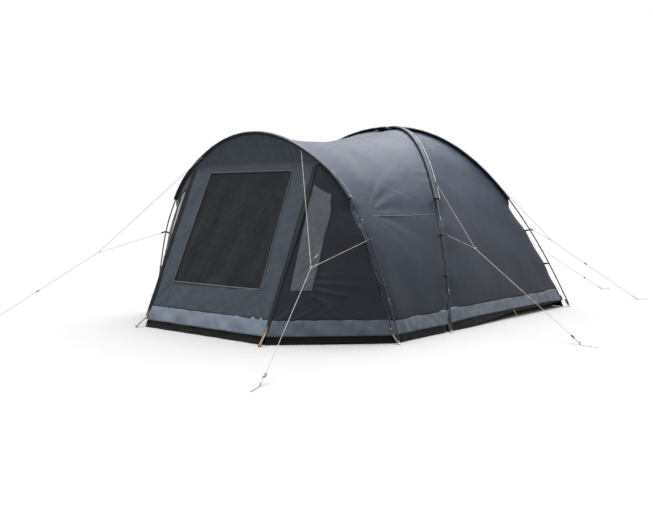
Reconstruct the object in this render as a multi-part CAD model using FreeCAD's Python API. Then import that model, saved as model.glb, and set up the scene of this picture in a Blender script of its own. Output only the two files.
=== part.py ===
import FreeCAD, Part
import math
import os

Vector = FreeCAD.Vector

# A five-berth dome tent with a porch. Two long poles cross over the bedroom, and a hoop holds
# up the porch. Millimetres; +X is the right-hand side seen from the front, +Y is to the rear.
# Lengths along Y are given from the line between the porch hoop's feet. place() moves them into
# the part's own frame, whose origin is on the ground, in the middle of the tent.

# Driving sizes
HALF_WIDTH = 1600
CROWN_HEIGHT = 2000
MIDDLE_FOOT_Y = 800
REAR_FOOT_Y = 3268
FRONT_Y = -777
STRAP_REACH = 70
POLE_RADIUS = 6.5
SLEEVE_RADIUS = 15
SLEEVE_WALL = 4
CLOTH = 1
CORD_RADIUS = 2

# The porch hoop: half its line, from the foot to the top, as distance from the middle and height.
# It leans forward by HOOP_LEAN of its height.
HOOP_HALF = (
    (HALF_WIDTH, 0), (1545, 245), (1470, 486), (1332, 880), (1148, 1197), (985, 1397),
    (770, 1563), (545, 1688), (280, 1780), (0, 1812),
)
HOOP_LEAN = 0.07

# The crossing poles rise as CROWN_HEIGHT * (1 - (1 - share) ** DOME_POWER), where share is the
# share of the way from foot to crown in plan. The cloth pulls the two legs on a side together.
DOME_POWER = 2.13
DOME_BOW = 107
CROWN_Y = (MIDDLE_FOOT_Y + REAR_FOOT_Y) / 2

# Heights and places on the legs
SLEEVE_END = 1200
CLIP_HEIGHTS = (486, 860)
SEAM_SHARE = 0.43
HEM_TOP = 195
HEM_BOTTOM = 68
FLAP_TOP = 62

# The front door: a flat panel that leans back to the hoop, with a mesh window
DOOR_HALF_WIDTH = 768
DOOR_TOP_Z = 1515
DOOR_TOP_Y = -114
WINDOW_BOTTOM_Z = 430
WINDOW_TOP_Z = 1447
WINDOW_HALF_BOTTOM = 570
WINDOW_HALF_TOP = 534
ZIP_X = 782

# Guylines, for the right-hand side unless named left: the peg, the ring where the two cords
# meet, and how far up its cord the line runner sits from the peg, as a share of that run.
FRONT_RING = (1390, -860, 676)
FRONT_PEG_RIGHT = (1837, -1852, 13)
FRONT_PEG_LEFT = (-1971, -1721, 13)
MIDDLE_RING = (1628, 1150, 744)
MIDDLE_PEG = (2740, 948, 13)
REAR_RING = (1380, 3228, 740)
REAR_PEG = (1926, 4404, 13)
WALL_PEG = (1143, 5251, 13)
HOOP_GUY_HEIGHT = 1640
DOME_GUY_HEIGHT = 1352
WALL_GUY_HEIGHT = 1380
WALL_GUY_ACROSS = 0.27
RUNNER_SHARES = {
    "front_right": 0.06, "front_left": 0.45, "middle": 0.057, "rear": 0.6, "wall": 0.12,
}

# The inner tent: a groundsheet tray, and walls in rings of half width, front, rear and height
TRAY = (1440, 905, 3163)
TRAY_DEPTH = 90
TRAY_WALL = 1.5
INNER_RINGS = (
    (1400, 950, 3118, 98), (1230, 1190, 2878, 640),
    (925, 1430, 2638, 1180), (420, 1780, 2288, 1730),
)
INNER_DOOR_HALF = 450
INNER_GAP = 6

# The foremost thing on the ground is a corner strap, and the rearmost is a rear foot's strap
HOOP_Y = -(FRONT_Y - STRAP_REACH + REAR_FOOT_Y + STRAP_REACH) / 2

UP = Vector(0, 0, 1)
LEFT_TO_RIGHT = Vector(1, 0, 0)


def place(x, y, z):
    return Vector(x, y + HOOP_Y, z)


def mirrored(shape):
    return shape.mirror(Vector(0, 0, 0), LEFT_TO_RIGHT)


def both_sides(shapes):
    return list(shapes) + [mirrored(shape) for shape in shapes]


def save(node, shapes):
    """Write one node, from one solid or a list of separate ones."""
    solids = [solid for shape in shapes for solid in shape.Solids]
    for solid in solids:
        if not solid.isValid() or solid.Volume <= 0:
            print("bad solid in", node, solid.Volume)
    whole = solids[0] if len(solids) == 1 else Part.makeCompound(solids)
    whole.exportStep("parts/" + node + ".step")
    print(node, len(solids), "solids,", round(sum(s.Volume for s in solids) / 1000), "cm3")


# Lines of the poles

def smooth_edge(points):
    curve = Part.BSplineCurve()
    curve.interpolate(points)
    return curve.toShape()


def along(edge, share):
    """The point at a share of an edge's length."""
    return edge.valueAt(edge.getParameterByLength(edge.Length * share))


def heading(edge, share):
    return edge.tangentAt(edge.getParameterByLength(edge.Length * share))


def share_at_height(edge, height):
    """How far along a rising edge it reaches a height, by halving."""
    low, high = 0.0, 1.0
    for _ in range(30):
        middle = (low + high) / 2
        if along(edge, middle).z < height:
            low = middle
        else:
            high = middle
    return low


def hoop_edge():
    right = [place(x, -HOOP_LEAN * z, z) for x, z in HOOP_HALF]
    left = [place(-x, -HOOP_LEAN * z, z) for x, z in HOOP_HALF[:-1]]
    return smooth_edge(left + right[::-1])


def hoop_leg_edge():
    return smooth_edge([place(x, -HOOP_LEAN * z, z) for x, z in HOOP_HALF])


def dome_leg_point(foot_y, share):
    """A point of a right-hand leg of a crossing pole, from its foot to the crown."""
    foot = Vector(HALF_WIDTH, foot_y, 0)
    run = Vector(0, CROWN_Y, 0) - foot
    side = Vector(-run.y, run.x, 0).normalize()
    if side.y * (CROWN_Y - foot_y) < 0:
        side = -side
    at = foot + run * share + side * (DOME_BOW * 4 * share * (1 - share))
    return place(at.x, at.y, CROWN_HEIGHT * (1 - (1 - share) ** DOME_POWER))


def dome_leg_edge(foot_y):
    return smooth_edge([dome_leg_point(foot_y, i / 12) for i in range(13)])


HOOP = hoop_edge()
HOOP_LEG = hoop_leg_edge()
MIDDLE_LEG = dome_leg_edge(MIDDLE_FOOT_Y)
REAR_LEG = dome_leg_edge(REAR_FOOT_Y)


# Rods and cords: straight runs joined by tangent arcs

def arc_radius(before, corner, after):
    """The largest arc that the two runs at a corner have room for."""
    turn = (corner - before).getAngle(after - corner)
    shorter = min((corner - before).Length, (after - corner).Length)
    return 0.45 * shorter / math.tan(turn / 2)


def route_wire(points, radii=None):
    """A wire through a route's corners, rounded by the given radii or by the largest arcs."""
    edges = []
    start = points[0]
    for i in range(1, len(points) - 1):
        before, corner, after = points[i - 1], points[i], points[i + 1]
        radius = radii[i - 1] if radii else arc_radius(before, corner, after)
        turn = (corner - before).getAngle(after - corner)
        back = (before - corner).normalize()
        on = (after - corner).normalize()
        cut = radius * math.tan(turn / 2)
        middle = (back + on).normalize()
        reach = radius / math.cos(turn / 2) - radius
        arc_start, arc_end = corner + back * cut, corner + on * cut
        edges.append(Part.LineSegment(start, arc_start).toShape())
        edges.append(Part.Arc(arc_start, corner + middle * reach, arc_end).toShape())
        start = arc_end
    edges.append(Part.LineSegment(start, points[-1]).toShape())
    return Part.Wire(edges)


def round_bar(wire, radius, bore=0):
    """A round bar or tube along a wire."""
    def swept(r):
        first = wire.OrderedEdges[0]
        at = first.valueAt(first.FirstParameter)
        ring = Part.Wire([Part.makeCircle(r, at, first.tangentAt(first.FirstParameter))])
        return wire.makePipeShell([ring], True, False)
    bar = swept(radius)
    return bar.cut(swept(bore)) if bore else bar


def pole_points(at, first, last, count):
    """Evenly spaced corners along a pole, between two shares of its length."""
    return [at(first + (last - first) * i / count) for i in range(count + 1)]


def hoop_at(share):
    return along(HOOP, share)


def flipped(point):
    return Vector(-point.x, point.y, point.z)


def pole_a_at(share):
    """From the middle foot on the right, over the crown, to the rear foot on the left."""
    if share < 0.5:
        return along(MIDDLE_LEG, share * 2)
    return flipped(along(REAR_LEG, (1 - share) * 2))


def pole_b_at(share):
    """From the middle foot on the left, over the crown, to the rear foot on the right."""
    return flipped(pole_a_at(share))


# The rods stand on their foot pins, bend in POLE_RUNS runs, and pass each other at the crown,
# one lifted and one lowered. The sleeves stop short of the crossing.
PIN_TOP = 34
POLE_RUNS = 60
SLEEVE_RUNS = 16
CROWN_LIFT = 11
SLEEVE_STOP = 0.47


def rod(points):
    return round_bar(route_wire(points), POLE_RADIUS)


def sleeve(at, first, last, runs):
    line = route_wire(pole_points(at, first, last, runs))
    return round_bar(line, SLEEVE_RADIUS, SLEEVE_RADIUS - SLEEVE_WALL)


def pole_parts():
    """The three rods and the sleeves round their upper stretches."""
    tip = PIN_TOP / HOOP.Length
    save("front_hoop_pole", [rod(pole_points(hoop_at, tip, 1 - tip, POLE_RUNS))])
    end = share_at_height(HOOP_LEG, SLEEVE_END) / 2
    save("front_hoop_sleeve", [sleeve(hoop_at, end, 1 - end, 2 * SLEEVE_RUNS)])
    tip = PIN_TOP / (2 * MIDDLE_LEG.Length)
    end = share_at_height(MIDDLE_LEG, SLEEVE_END) / 2
    for letter, at, lift in (("a", pole_a_at, CROWN_LIFT), ("b", pole_b_at, -CROWN_LIFT)):
        points = pole_points(at, tip, 1 - tip, POLE_RUNS)
        points[POLE_RUNS // 2] += UP * lift
        save("dome_pole_" + letter, [rod(points)])
        near = sleeve(at, end, SLEEVE_STOP, SLEEVE_RUNS)
        far = sleeve(at, 1 - SLEEVE_STOP, 1 - end, SLEEVE_RUNS)
        save("dome_sleeve_" + letter, [near, far])


# Cloth

def sheet(rows, inside, thickness=CLOTH, open_cells=()):
    """A closed thin solid under a grid of points, thickened towards a point inside the tent.

    open_cells are the (row, column) cells that are left out, as for a window.
    """
    count, width = len(rows), len(rows[0])
    points = [p for row in rows for p in row]
    lower = []
    for i in range(count):
        for j in range(width):
            along_row = rows[i][min(j + 1, width - 1)] - rows[i][max(j - 1, 0)]
            along_column = rows[min(i + 1, count - 1)][j] - rows[max(i - 1, 0)][j]
            normal = along_row.cross(along_column).normalize()
            if normal.dot(inside - rows[i][j]) < 0:
                normal = -normal
            lower.append(rows[i][j] + normal * thickness)
    shift = len(points)
    cells = [(i, j) for i in range(count - 1) for j in range(width - 1) if (i, j) not in open_cells]
    facets = []
    rims = {}
    for i, j in cells:
        a, b = i * width + j, i * width + j + 1
        c, d = b + width, a + width
        facets += [(a, b, c), (a, c, d), (a + shift, c + shift, b + shift)]
        facets += [(a + shift, d + shift, c + shift)]
        for start, end in ((a, b), (b, c), (c, d), (d, a)):
            key = (min(start, end), max(start, end))
            rims[key] = None if key in rims else (start, end)
    for rim in rims.values():
        if rim:
            start, end = rim
            facets += [(start, start + shift, end + shift), (start, end + shift, end)]
    skin = Part.Shape()
    skin.makeShapeFromMesh((points + lower, facets), 0.01)
    solid = Part.Solid(skin.Shells[0])
    if solid.Volume < 0:
        solid.reverse()
    return solid


def spread(first, last, count):
    return [first + (last - first) * i / count for i in range(count + 1)]


def pulled_in(point, distance, heart):
    """A point moved towards the tent's heart."""
    return point + (heart - point).normalize() * distance


# The cloth hangs this far inside the lines of the poles. Below the sleeves its edges stand
# wider, over the height GAP_RUN, and the power says how soon that dies out across a panel.
CLOTH_GAP = 24
LOW_GAP = 56
GAP_RUN = 60
EDGE_POWER = 6


def cloth_gap(height):
    low = min(max((SLEEVE_END - height) / GAP_RUN, 0), 1)
    return CLOTH_GAP + (LOW_GAP - CLOTH_GAP) * low * low * (3 - 2 * low)


def spanned(edge_a, edge_b, v, sag, heart):
    """A point of cloth stretched from one pole line to another, a share v of the way across."""
    at = edge_a + (edge_b - edge_a) * v
    wider = (cloth_gap(at.z) - CLOTH_GAP) * abs(1 - 2 * v) ** EDGE_POWER
    return pulled_in(at, CLOTH_GAP + wider + sag * 4 * v * (1 - v), heart)


# The porch's cloth runs from the hoop to the middle legs, up to CROWN_SHARE of them. It sags by
# ROOF_SAG in its middle where it spans SAG_SPAN, and less where it spans less.
PORCH_HEART_Z = 650
CROWN_SHARE = 0.95
ROOF_SAG = 108
SAG_SPAN = 2160
SEAM_GAP = 0.001


def porch_heart(point):
    return Vector(0, point.y, min(PORCH_HEART_Z, point.z))


def porch_point(share, v):
    """A point of the porch's right half; share runs from the ground to the ridge."""
    front = along(HOOP, 1 - share / 2)
    back = along(MIDDLE_LEG, share * CROWN_SHARE)
    sag = ROOF_SAG * ((back - front).Length / SAG_SPAN) ** 2
    middle = front + (back - front) * v
    return spanned(front, back, v, sag, porch_heart(middle))


def porch_grid(first, last, rows, columns):
    across = spread(0.01, 0.99, columns)
    return [[porch_point(share, v) for v in across] for share in spread(first, last, rows)]


HEM_GAP = 4


def share_of_wall(height):
    return share_at_height(MIDDLE_LEG, height)


def porch_parts():
    inside = place(0, 400, 300)
    half = porch_grid(SEAM_SHARE + SEAM_GAP, 1, 12, 6)
    other = [[flipped(p) for p in row] for row in half]
    ridge = [Vector(0, a.y, a.z) for a in half[-1]]
    save("porch_roof", [sheet(half[:-1] + [ridge] + other[:-1][::-1], inside)])
    low = share_of_wall(HEM_TOP + HEM_GAP)
    wall = sheet(porch_grid(low, SEAM_SHARE - SEAM_GAP, 6, 5), inside)
    save("porch_wall_right", [wall])
    save("porch_wall_left", [mirrored(wall)])


# The bedroom's cloth, and a square patch between it and the crossing of the poles
DOME_SAG = 60
REAR_SAG = 80
PATCH_HALF = 120
PATCH_DROP = 21
PATCH_CURVE = 0.0003


def dome_heart(point):
    return Vector(0, CROWN_Y + HOOP_Y, min(PORCH_HEART_Z, point.z))


def side_point(share, v):
    """A point of the bedroom's right side, between the two right-hand legs."""
    front, back = along(MIDDLE_LEG, share), along(REAR_LEG, share)
    middle = front + (back - front) * v
    return spanned(front, back, v, DOME_SAG * 4 * share * (1 - share), dome_heart(middle))


def rear_point(share, v):
    """A point of the bedroom's rear, between the two rear legs, from right to left."""
    front, back = along(REAR_LEG, share), flipped(along(REAR_LEG, share))
    middle = front + (back - front) * v
    return spanned(front, back, v, REAR_SAG * 4 * share * (1 - share), dome_heart(middle))


def cloth_grid(point, first, last, rows, columns, margin=0.006):
    across = spread(margin, 1 - margin, columns)
    return [[point(share, v) for v in across] for share in spread(first, last, rows)]


def dome_parts():
    inside = place(0, CROWN_Y, 300)
    low = share_of_wall(HEM_TOP + HEM_GAP)
    side = sheet(cloth_grid(side_point, low, CROWN_SHARE, 14, 8), inside)
    save("dome_side_right", [side])
    save("dome_side_left", [mirrored(side)])
    save("dome_rear", [sheet(cloth_grid(rear_point, low, CROWN_SHARE, 14, 8), inside)])
    crown = place(0, CROWN_Y, CROWN_HEIGHT - PATCH_DROP)
    steps = spread(-PATCH_HALF, PATCH_HALF, 6)
    rows = [[crown + Vector(x, y, -PATCH_CURVE * (x * x + y * y)) for x in steps] for y in steps]
    save("crown_patch", [sheet(rows, inside)])


# The porch's front: side panels with windows, the gable and the door

def door_point(x, height, out=0):
    """A point in the door's plane, at a height above the ground, moved out along its normal."""
    share = height / DOOR_TOP_Z
    normal = Vector(0, -DOOR_TOP_Z, DOOR_TOP_Y - FRONT_Y).normalize()
    return place(x, FRONT_Y + (DOOR_TOP_Y - FRONT_Y) * share, height) + normal * out


# The front side panels: rows of cloth by height, as shares of the door's, with the window
# between two of them, its sides at these distances from the middle at its foot and its top.
# The panel starts beside the zip and ends on the hoop's leg.
WINDOW_ROWS = (0.285, 0.87)
FRONT_SHARES = (0.13, 0.285, 0.48, 0.68, 0.87, 0.985)
WINDOW_SIDES = ((858, 814), (992, 982))
PANEL_X = ZIP_X + 14
LEG_SETBACK = Vector(0, 8, 0)
FILM_INSET = (0.003, 0.006)


def front_side_point(share, v):
    """A point of the right-hand front side; share is height over the zip's top."""
    height = share * DOOR_TOP_Z
    front = door_point(PANEL_X, height)
    leg = along(HOOP_LEG, share_at_height(HOOP_LEG, height * 1.01))
    back = pulled_in(leg, cloth_gap(leg.z), porch_heart(leg)) - LEG_SETBACK
    return front + (back - front) * v


def window_edges(share):
    """How far across the panel the side window's two straight upright edges stand."""
    share = min(max(share, WINDOW_ROWS[0]), WINDOW_ROWS[1])
    rise = (share - WINDOW_ROWS[0]) / (WINDOW_ROWS[1] - WINDOW_ROWS[0])
    width = front_side_point(share, 1).x - PANEL_X
    return [(low + (top - low) * rise - PANEL_X) / width for low, top in WINDOW_SIDES]


def front_side_rows(shares):
    rows = []
    for share in shares:
        near, far = window_edges(share)
        across = (0, near, (near + far) / 2, far, (far + 1) / 2, 1)
        rows.append([front_side_point(share, v) for v in across])
    return rows


def front_side_parts():
    inside = place(0, 200, 300)
    holes = [(i, j) for i in (1, 2, 3) for j in (1, 2)]
    panel = sheet(front_side_rows(FRONT_SHARES), inside, CLOTH, holes)
    save("front_side_right", [panel])
    save("front_side_left", [mirrored(panel)])
    rows = []
    in_height, in_width = FILM_INSET
    for share in spread(WINDOW_ROWS[0] + in_height, WINDOW_ROWS[1] - in_height, 3):
        near, far = window_edges(share)
        across = spread(near + in_width, far - in_width, 2)
        rows.append([front_side_point(share, v) for v in across])
    film = sheet(rows, inside)
    save("side_window_right", [film])
    save("side_window_left", [mirrored(film)])


# The gable reaches this share of the hoop, as far as it is higher than the door by GABLE_LEAST
GABLE_END = 0.73
GABLE_GAP = 6
GABLE_LEAST = 12


def gable_part():
    """The crescent between the door's top and the hoop."""
    inside = place(0, 200, 300)
    rows = []
    for share in spread(0.5, GABLE_END, 10):
        top = along(HOOP, share)
        top = pulled_in(top, CLOTH_GAP, porch_heart(top)) - LEG_SETBACK
        bottom = door_point(top.x, DOOR_TOP_Z + GABLE_GAP)
        if top.z - bottom.z > GABLE_LEAST:
            rows.append([bottom, bottom + (top - bottom) * 0.5, top])
    left = [[flipped(p) for p in row] for row in rows[1:]]
    save("front_gable", [sheet(left[::-1] + rows, inside)])


def flat_panel(corners, hole=()):
    """A flat cloth plate in the door's plane, from corners given as x and height."""
    def plate(outline, front, back):
        ring = [door_point(x, z, front) for x, z in outline]
        face = Part.Face(Part.makePolygon(ring + ring[:1]))
        return face.extrude(door_point(0, 0, back) - door_point(0, 0, front))
    body = plate(corners, 0, -CLOTH)
    return body.cut(plate(hole, 5, -CLOTH - 5)) if hole else body


def window_outline(margin):
    return (
        (-WINDOW_HALF_BOTTOM - margin, WINDOW_BOTTOM_Z - margin),
        (WINDOW_HALF_BOTTOM + margin, WINDOW_BOTTOM_Z - margin),
        (WINDOW_HALF_TOP + margin, WINDOW_TOP_Z + margin),
        (-WINDOW_HALF_TOP - margin, WINDOW_TOP_Z + margin),
    )


def block_outline(left, right, low, high):
    return ((left, low), (right, low), (right, high), (left, high))


def band(low, high):
    return block_outline(-DOOR_HALF_WIDTH, DOOR_HALF_WIDTH, low, high)


TRACK_HALF = 6
TRACK_HEIGHTS = (100, 1490)
DOOR_LOW = 3

# A slider's body and its pull: half width, low and high, back and front
SLIDER_BODY = (6, 140, 165, 1.5, 8)
SLIDER_PULL = (4, 90, 145, 3, 5.5)


def door_parts():
    save("door_panel", [flat_panel(band(HEM_TOP + HEM_GAP, DOOR_TOP_Z), window_outline(0))])
    save("door_mesh", [flat_panel(window_outline(-2))])
    save("door_hem_band", [flat_panel(band(HEM_BOTTOM, HEM_TOP))])
    save("door_mud_flap", [flat_panel(band(DOOR_LOW, FLAP_TOP))])
    track = flat_panel(block_outline(ZIP_X - TRACK_HALF, ZIP_X + TRACK_HALF, *TRACK_HEIGHTS))
    save("door_zip_tracks", both_sides([track]))
    for name, side in (("right", 1), ("left", -1)):
        save("zip_slider_" + name, [zip_slider(side * ZIP_X)])


def zip_slider(x):
    """A slider in front of its track, with a pull hanging below it."""
    def block(half, low, high, back, front):
        outline = block_outline(x - half, x + half, low, high)
        ring = [door_point(px, pz, back) for px, pz in outline]
        face = Part.Face(Part.makePolygon(ring + ring[:1]))
        return face.extrude(door_point(0, 0, front) - door_point(0, 0, back))
    return block(*SLIDER_BODY).fuse(block(*SLIDER_PULL)).removeSplitter()


# Hem bands and mud flaps of the cloth that stays put

FLAP_BOTTOM = 2


def low_strip(point, low, high, columns, margin):
    shares = [share_of_wall(low), share_of_wall(high)]
    return [[point(s, v) for v in spread(margin, 1 - margin, columns)] for s in shares]


def front_side_strip(low, high):
    return [[front_side_point(z / DOOR_TOP_Z, v) for v in spread(0, 1, 3)] for z in (low, high)]


def hem_parts():
    porch_inside = place(0, 400, 60)
    dome_inside = place(0, CROWN_Y, 60)
    strips = (("hem_bands", HEM_BOTTOM, HEM_TOP), ("mud_flaps", FLAP_BOTTOM, FLAP_TOP))
    for node, low, high in strips:
        one_side = [
            sheet(front_side_strip(low, high), porch_inside),
            sheet(low_strip(porch_point, low, high, 3, 0.01), porch_inside),
            sheet(low_strip(side_point, low, high, 5, 0.006), dome_inside),
        ]
        rear = sheet(low_strip(rear_point, low, high, 5, 0.006), dome_inside)
        save(node, both_sides(one_side) + [rear])


# Feet, straps, clips and guy tabs

def flat_strap(start, end, face_out, width=25, thickness=2):
    """A flat strap from one point to another, facing one way."""
    run = end - start
    across = run.cross(face_out).normalize()
    out = across.cross(run).normalize() * (thickness / 2)
    half = across * (width / 2)
    ring = [start - half - out, start + half - out, start + half + out, start - half + out]
    return Part.Face(Part.makePolygon(ring + ring[:1])).extrude(run)


LEGS = (HOOP_LEG, MIDDLE_LEG, REAR_LEG)


def heart_of(edge, point):
    return porch_heart(point) if edge is HOOP_LEG else dome_heart(point)


def into_tent(edge):
    """Level, from a leg's foot towards the cloth it holds."""
    foot = along(edge, 0)
    return (heart_of(edge, foot) - foot).normalize()


# A foot: a round base and the pin that the rod stands on, and a ring round them
BASE_RADIUS = 9
BASE_HEIGHT = 5
PIN_RADIUS = 4.5
PIN_LENGTH = 28
PIN_START = 3
RING_HEIGHT = 10
RING_RADIUS = 15
RING_WIRE = 2.2

# The strap that pulls the hem down to the foot, with its buckle: gaps from the leg's line
STRAP_LOW = 16
STRAP_LOW_GAP = 19
STRAP_HIGH = 205
STRAP_HIGH_GAP = 40
BUCKLE_SHARE = 0.75
BUCKLE_LENGTH = 32
BUCKLE_WIDTH = 34
BUCKLE_THICKNESS = 6


def foot_pin(foot, rise):
    base = Part.makeCylinder(BASE_RADIUS, BASE_HEIGHT, foot, UP)
    return base.fuse(Part.makeCylinder(PIN_RADIUS, PIN_LENGTH, foot + UP * PIN_START, rise))


def foot_strap(edge):
    """The strap up a leg from its foot to the hem, cut round its buckle, and the buckle."""
    inward = into_tent(edge)
    start = along(edge, 0) + inward * STRAP_LOW_GAP + UP * STRAP_LOW
    end = along(edge, share_at_height(edge, STRAP_HIGH)) + inward * STRAP_HIGH_GAP
    buckle_at = start + (end - start) * BUCKLE_SHARE
    buckle_end = buckle_at + (end - start).normalize() * BUCKLE_LENGTH
    buckle = flat_strap(buckle_at, buckle_end, -inward, BUCKLE_WIDTH, BUCKLE_THICKNESS)
    return flat_strap(start, end, -inward).cut(buckle), buckle


# The loop at the middle of a side's hem: its width, and how far out it meets the ground
LOOP_WIDTH = 8
LOOP_REACH = 60


def corner_straps():
    """Peg loops: at the front panel's foot, the rear corner and the middle of the side."""
    front = place(ZIP_X + 30, FRONT_Y - STRAP_REACH, 4)
    rear = place(HALF_WIDTH - 45, REAR_FOOT_Y + STRAP_REACH, 4)
    rear_top = place(HALF_WIDTH - 60, REAR_FOOT_Y + 14, 70)
    hem = side_point(share_of_wall(HEM_BOTTOM + 10), 0.5) + LEFT_TO_RIGHT * 5
    ground = Vector(hem.x + LOOP_REACH, hem.y, 4)
    return [
        flat_strap(front, door_point(ZIP_X, 60, 14), Vector(0, -1, 1)),
        flat_strap(rear, rear_top, Vector(0, 1, 1)),
        flat_strap(ground, hem, Vector(1, 0, 1), LOOP_WIDTH),
    ]


def foot_parts():
    pins = []
    rings = []
    straps = []
    buckles = []
    for edge in LEGS:
        foot = along(edge, 0)
        pins.append(foot_pin(foot, (along(edge, 0.02) - foot).normalize()))
        rings.append(Part.makeTorus(RING_RADIUS, RING_WIRE, foot + UP * RING_HEIGHT, UP))
        strap, buckle = foot_strap(edge)
        straps.append(strap)
        buckles.append(buckle)
    save("foot_pins", both_sides(pins))
    save("foot_rings", both_sides(rings))
    save("foot_straps", both_sides(straps + corner_straps()))
    save("strap_buckles", both_sides(buckles))


# A clip: a hook round the pole with a little play, and a flat tab from it towards the cloth
CLIP_RADIUS = 11
CLIP_PLAY = 1.5
CLIP_TAB = (9, 40)
CLIP_TAB_SIZE = (20, 4)


def pole_clip(edge, height):
    """A hook round the pole, and its tab to the cloth's edge."""
    share = share_at_height(edge, height)
    at = along(edge, share)
    axis = heading(edge, share)
    if axis.z < 0:
        axis = -axis
    inward = heart_of(edge, at) - at
    inward = (inward - axis * inward.dot(axis)).normalize()
    start = at - axis * CLIP_RADIUS
    bore = Part.makeCylinder(POLE_RADIUS + CLIP_PLAY, 2 * CLIP_RADIUS, start, axis)
    ring = Part.makeCylinder(CLIP_RADIUS, 2 * CLIP_RADIUS, start, axis).cut(bore)
    near, far = [at + inward * reach for reach in CLIP_TAB]
    tab = flat_strap(near, far, axis.cross(inward), *CLIP_TAB_SIZE).cut(bore)
    return ring.fuse(tab).removeSplitter()


def clip_parts():
    clips = [pole_clip(edge, height) for edge in LEGS for height in CLIP_HEIGHTS]
    save("pole_clips", both_sides(clips))


# Guylines

TAB_LENGTH = 34
TAB_WIDTH = 18
TAB_THICKNESS = 3
TAB_GAP = 12
WALL_TAB_GAP = 5

# The ring where the two cords of a fork meet, and how the cords bend round it and at a peg
GUY_RING_RADIUS = 9
BRANCH_STOP = 14
RING_BEND = 15
EYE_BEND = 5
EYE_REACH = 7
EYE_HALF = 6
EYE_LENGTH = 60
EYE_END_SIDE = 4.6

# A line runner: a block with a bore for the cord
RUNNER_LENGTH = 34
RUNNER_WIDTH = 15
RUNNER_THICKNESS = 9
RUNNER_PLAY = 1

# A peg lies on the ground, with its hooked head up
PEG_RADIUS = 3
PEG_HEAD = 26
PEG_HOOK = 16
PEG_LENGTH = 170
PEG_BEND = 3.4
PEG_CLEARANCE = 0.2


def guy_start(anchor, face, towards):
    """Where a cord leaves its webbing tab, and the tab, which faces the given way."""
    way = (towards - anchor).normalize()
    tab = flat_strap(anchor, anchor + way * TAB_LENGTH, face, TAB_WIDTH, TAB_THICKNESS)
    return anchor + way * (TAB_LENGTH + 1), tab


def eye_points(ring, peg):
    """The corners of the eye that a cord makes round its peg, and where the eye is tied off."""
    way = (peg - ring).normalize()
    across = way.cross(UP).normalize()
    far = peg + way * EYE_REACH
    tied = peg - way * EYE_LENGTH + across * EYE_END_SIDE
    return [far - across * EYE_HALF, far + across * EYE_HALF, tied]


def cord_solid(node, points, radii):
    wire = route_wire(points, radii)
    solid = round_bar(wire, CORD_RADIUS)
    expected = math.pi * CORD_RADIUS ** 2 * wire.Length
    print(node, "length", round(wire.Length), "radii", [round(r) for r in radii],
          "volume ratio", round(solid.Volume / expected, 3))
    save(node, [solid])


def forked_guy(name, upper, lower, ring, peg):
    """A long cord from the pole through the ring to the peg, and a short one from a clip.

    upper and lower each give the place of a tab and the way that it faces.
    """
    start, tab = guy_start(*upper, ring)
    eye = eye_points(ring, peg)
    cord_solid("guy_" + name, [start, ring] + eye, (RING_BEND, EYE_BEND, EYE_BEND))
    branch_start, branch_tab = guy_start(*lower, ring)
    branch_end = ring + (branch_start - ring).normalize() * BRANCH_STOP
    cord_solid("guy_branch_" + name, [branch_start, branch_end], ())
    axis = ((ring - start).normalize() + (eye[0] - ring).normalize()).normalize()
    torus = Part.makeTorus(GUY_RING_RADIUS, RING_WIRE, ring, axis)
    return [tab, branch_tab], torus, (ring, eye[0])


def single_guy(name, anchor, out, peg):
    start, tab = guy_start(anchor, out, peg)
    eye = eye_points(anchor, peg)
    cord_solid("guy_" + name, [start] + eye, (EYE_BEND, EYE_BEND))
    return [tab], (start, eye[0])


def line_runner(name, run, share):
    """A small moulded lock on the cord, bored lengthways with room for it."""
    ring, peg = run
    way = (ring - peg).normalize()
    across = way.cross(UP).normalize()
    at = peg + (ring - peg) * share
    face = way.cross(across)
    block = flat_strap(at, at + way * RUNNER_LENGTH, face, RUNNER_WIDTH, RUNNER_THICKNESS)
    bore = Part.makeCylinder(CORD_RADIUS + RUNNER_PLAY, 2 * RUNNER_LENGTH, at - way * 10, way)
    save("runner_" + name, [block.cut(bore)])
    print("runner", name, [round(c, 1) for c in at], "axis", [round(c, 5) for c in way])


def leg_anchor(edge, height, gap, ring):
    """A place beside a leg's sleeve or clip, towards a ring, and the way that its tab faces."""
    share = share_at_height(edge, height)
    at = along(edge, share)
    axis = heading(edge, share)
    way = ring - at
    out = (way - axis * way.dot(axis)).normalize()
    return at + out * gap, axis.cross(out)


def peg_solid(at, way):
    """A steel pin lying on the ground, with a hooked head that the cord's eye goes round."""
    level = Vector(way.x, way.y, 0).normalize()
    across = level.cross(UP)
    head = Vector(at.x, at.y, 0)
    low = head + UP * (PEG_RADIUS + PEG_CLEARANCE)
    high = head + UP * PEG_HEAD
    corners = [high + across * PEG_HOOK, high, low, low + level * PEG_LENGTH]
    return round_bar(route_wire(corners, (PEG_BEND, PEG_BEND)), PEG_RADIUS)


def wall_anchor():
    """The place of a rear wall guyline's tab, and the way that the wall faces there."""
    share = share_at_height(REAR_LEG, WALL_GUY_HEIGHT)
    at = rear_point(share, WALL_GUY_ACROSS)
    level = rear_point(share, WALL_GUY_ACROSS + 0.01) - at
    uphill = rear_point(share + 0.01, WALL_GUY_ACROSS) - at
    out = level.cross(uphill).normalize()
    return at + out * WALL_TAB_GAP, out


def guy_jobs(right):
    """The forked guylines of one side: name, leg, height on the leg, ring and peg."""
    front_peg = FRONT_PEG_RIGHT if right else FRONT_PEG_LEFT
    if not right:
        front_peg = (-front_peg[0], front_peg[1], front_peg[2])
    return (
        ("front", HOOP_LEG, HOOP_GUY_HEIGHT, FRONT_RING, front_peg),
        ("middle", MIDDLE_LEG, DOME_GUY_HEIGHT, MIDDLE_RING, MIDDLE_PEG),
        ("rear", REAR_LEG, DOME_GUY_HEIGHT, REAR_RING, REAR_PEG),
    )


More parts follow.
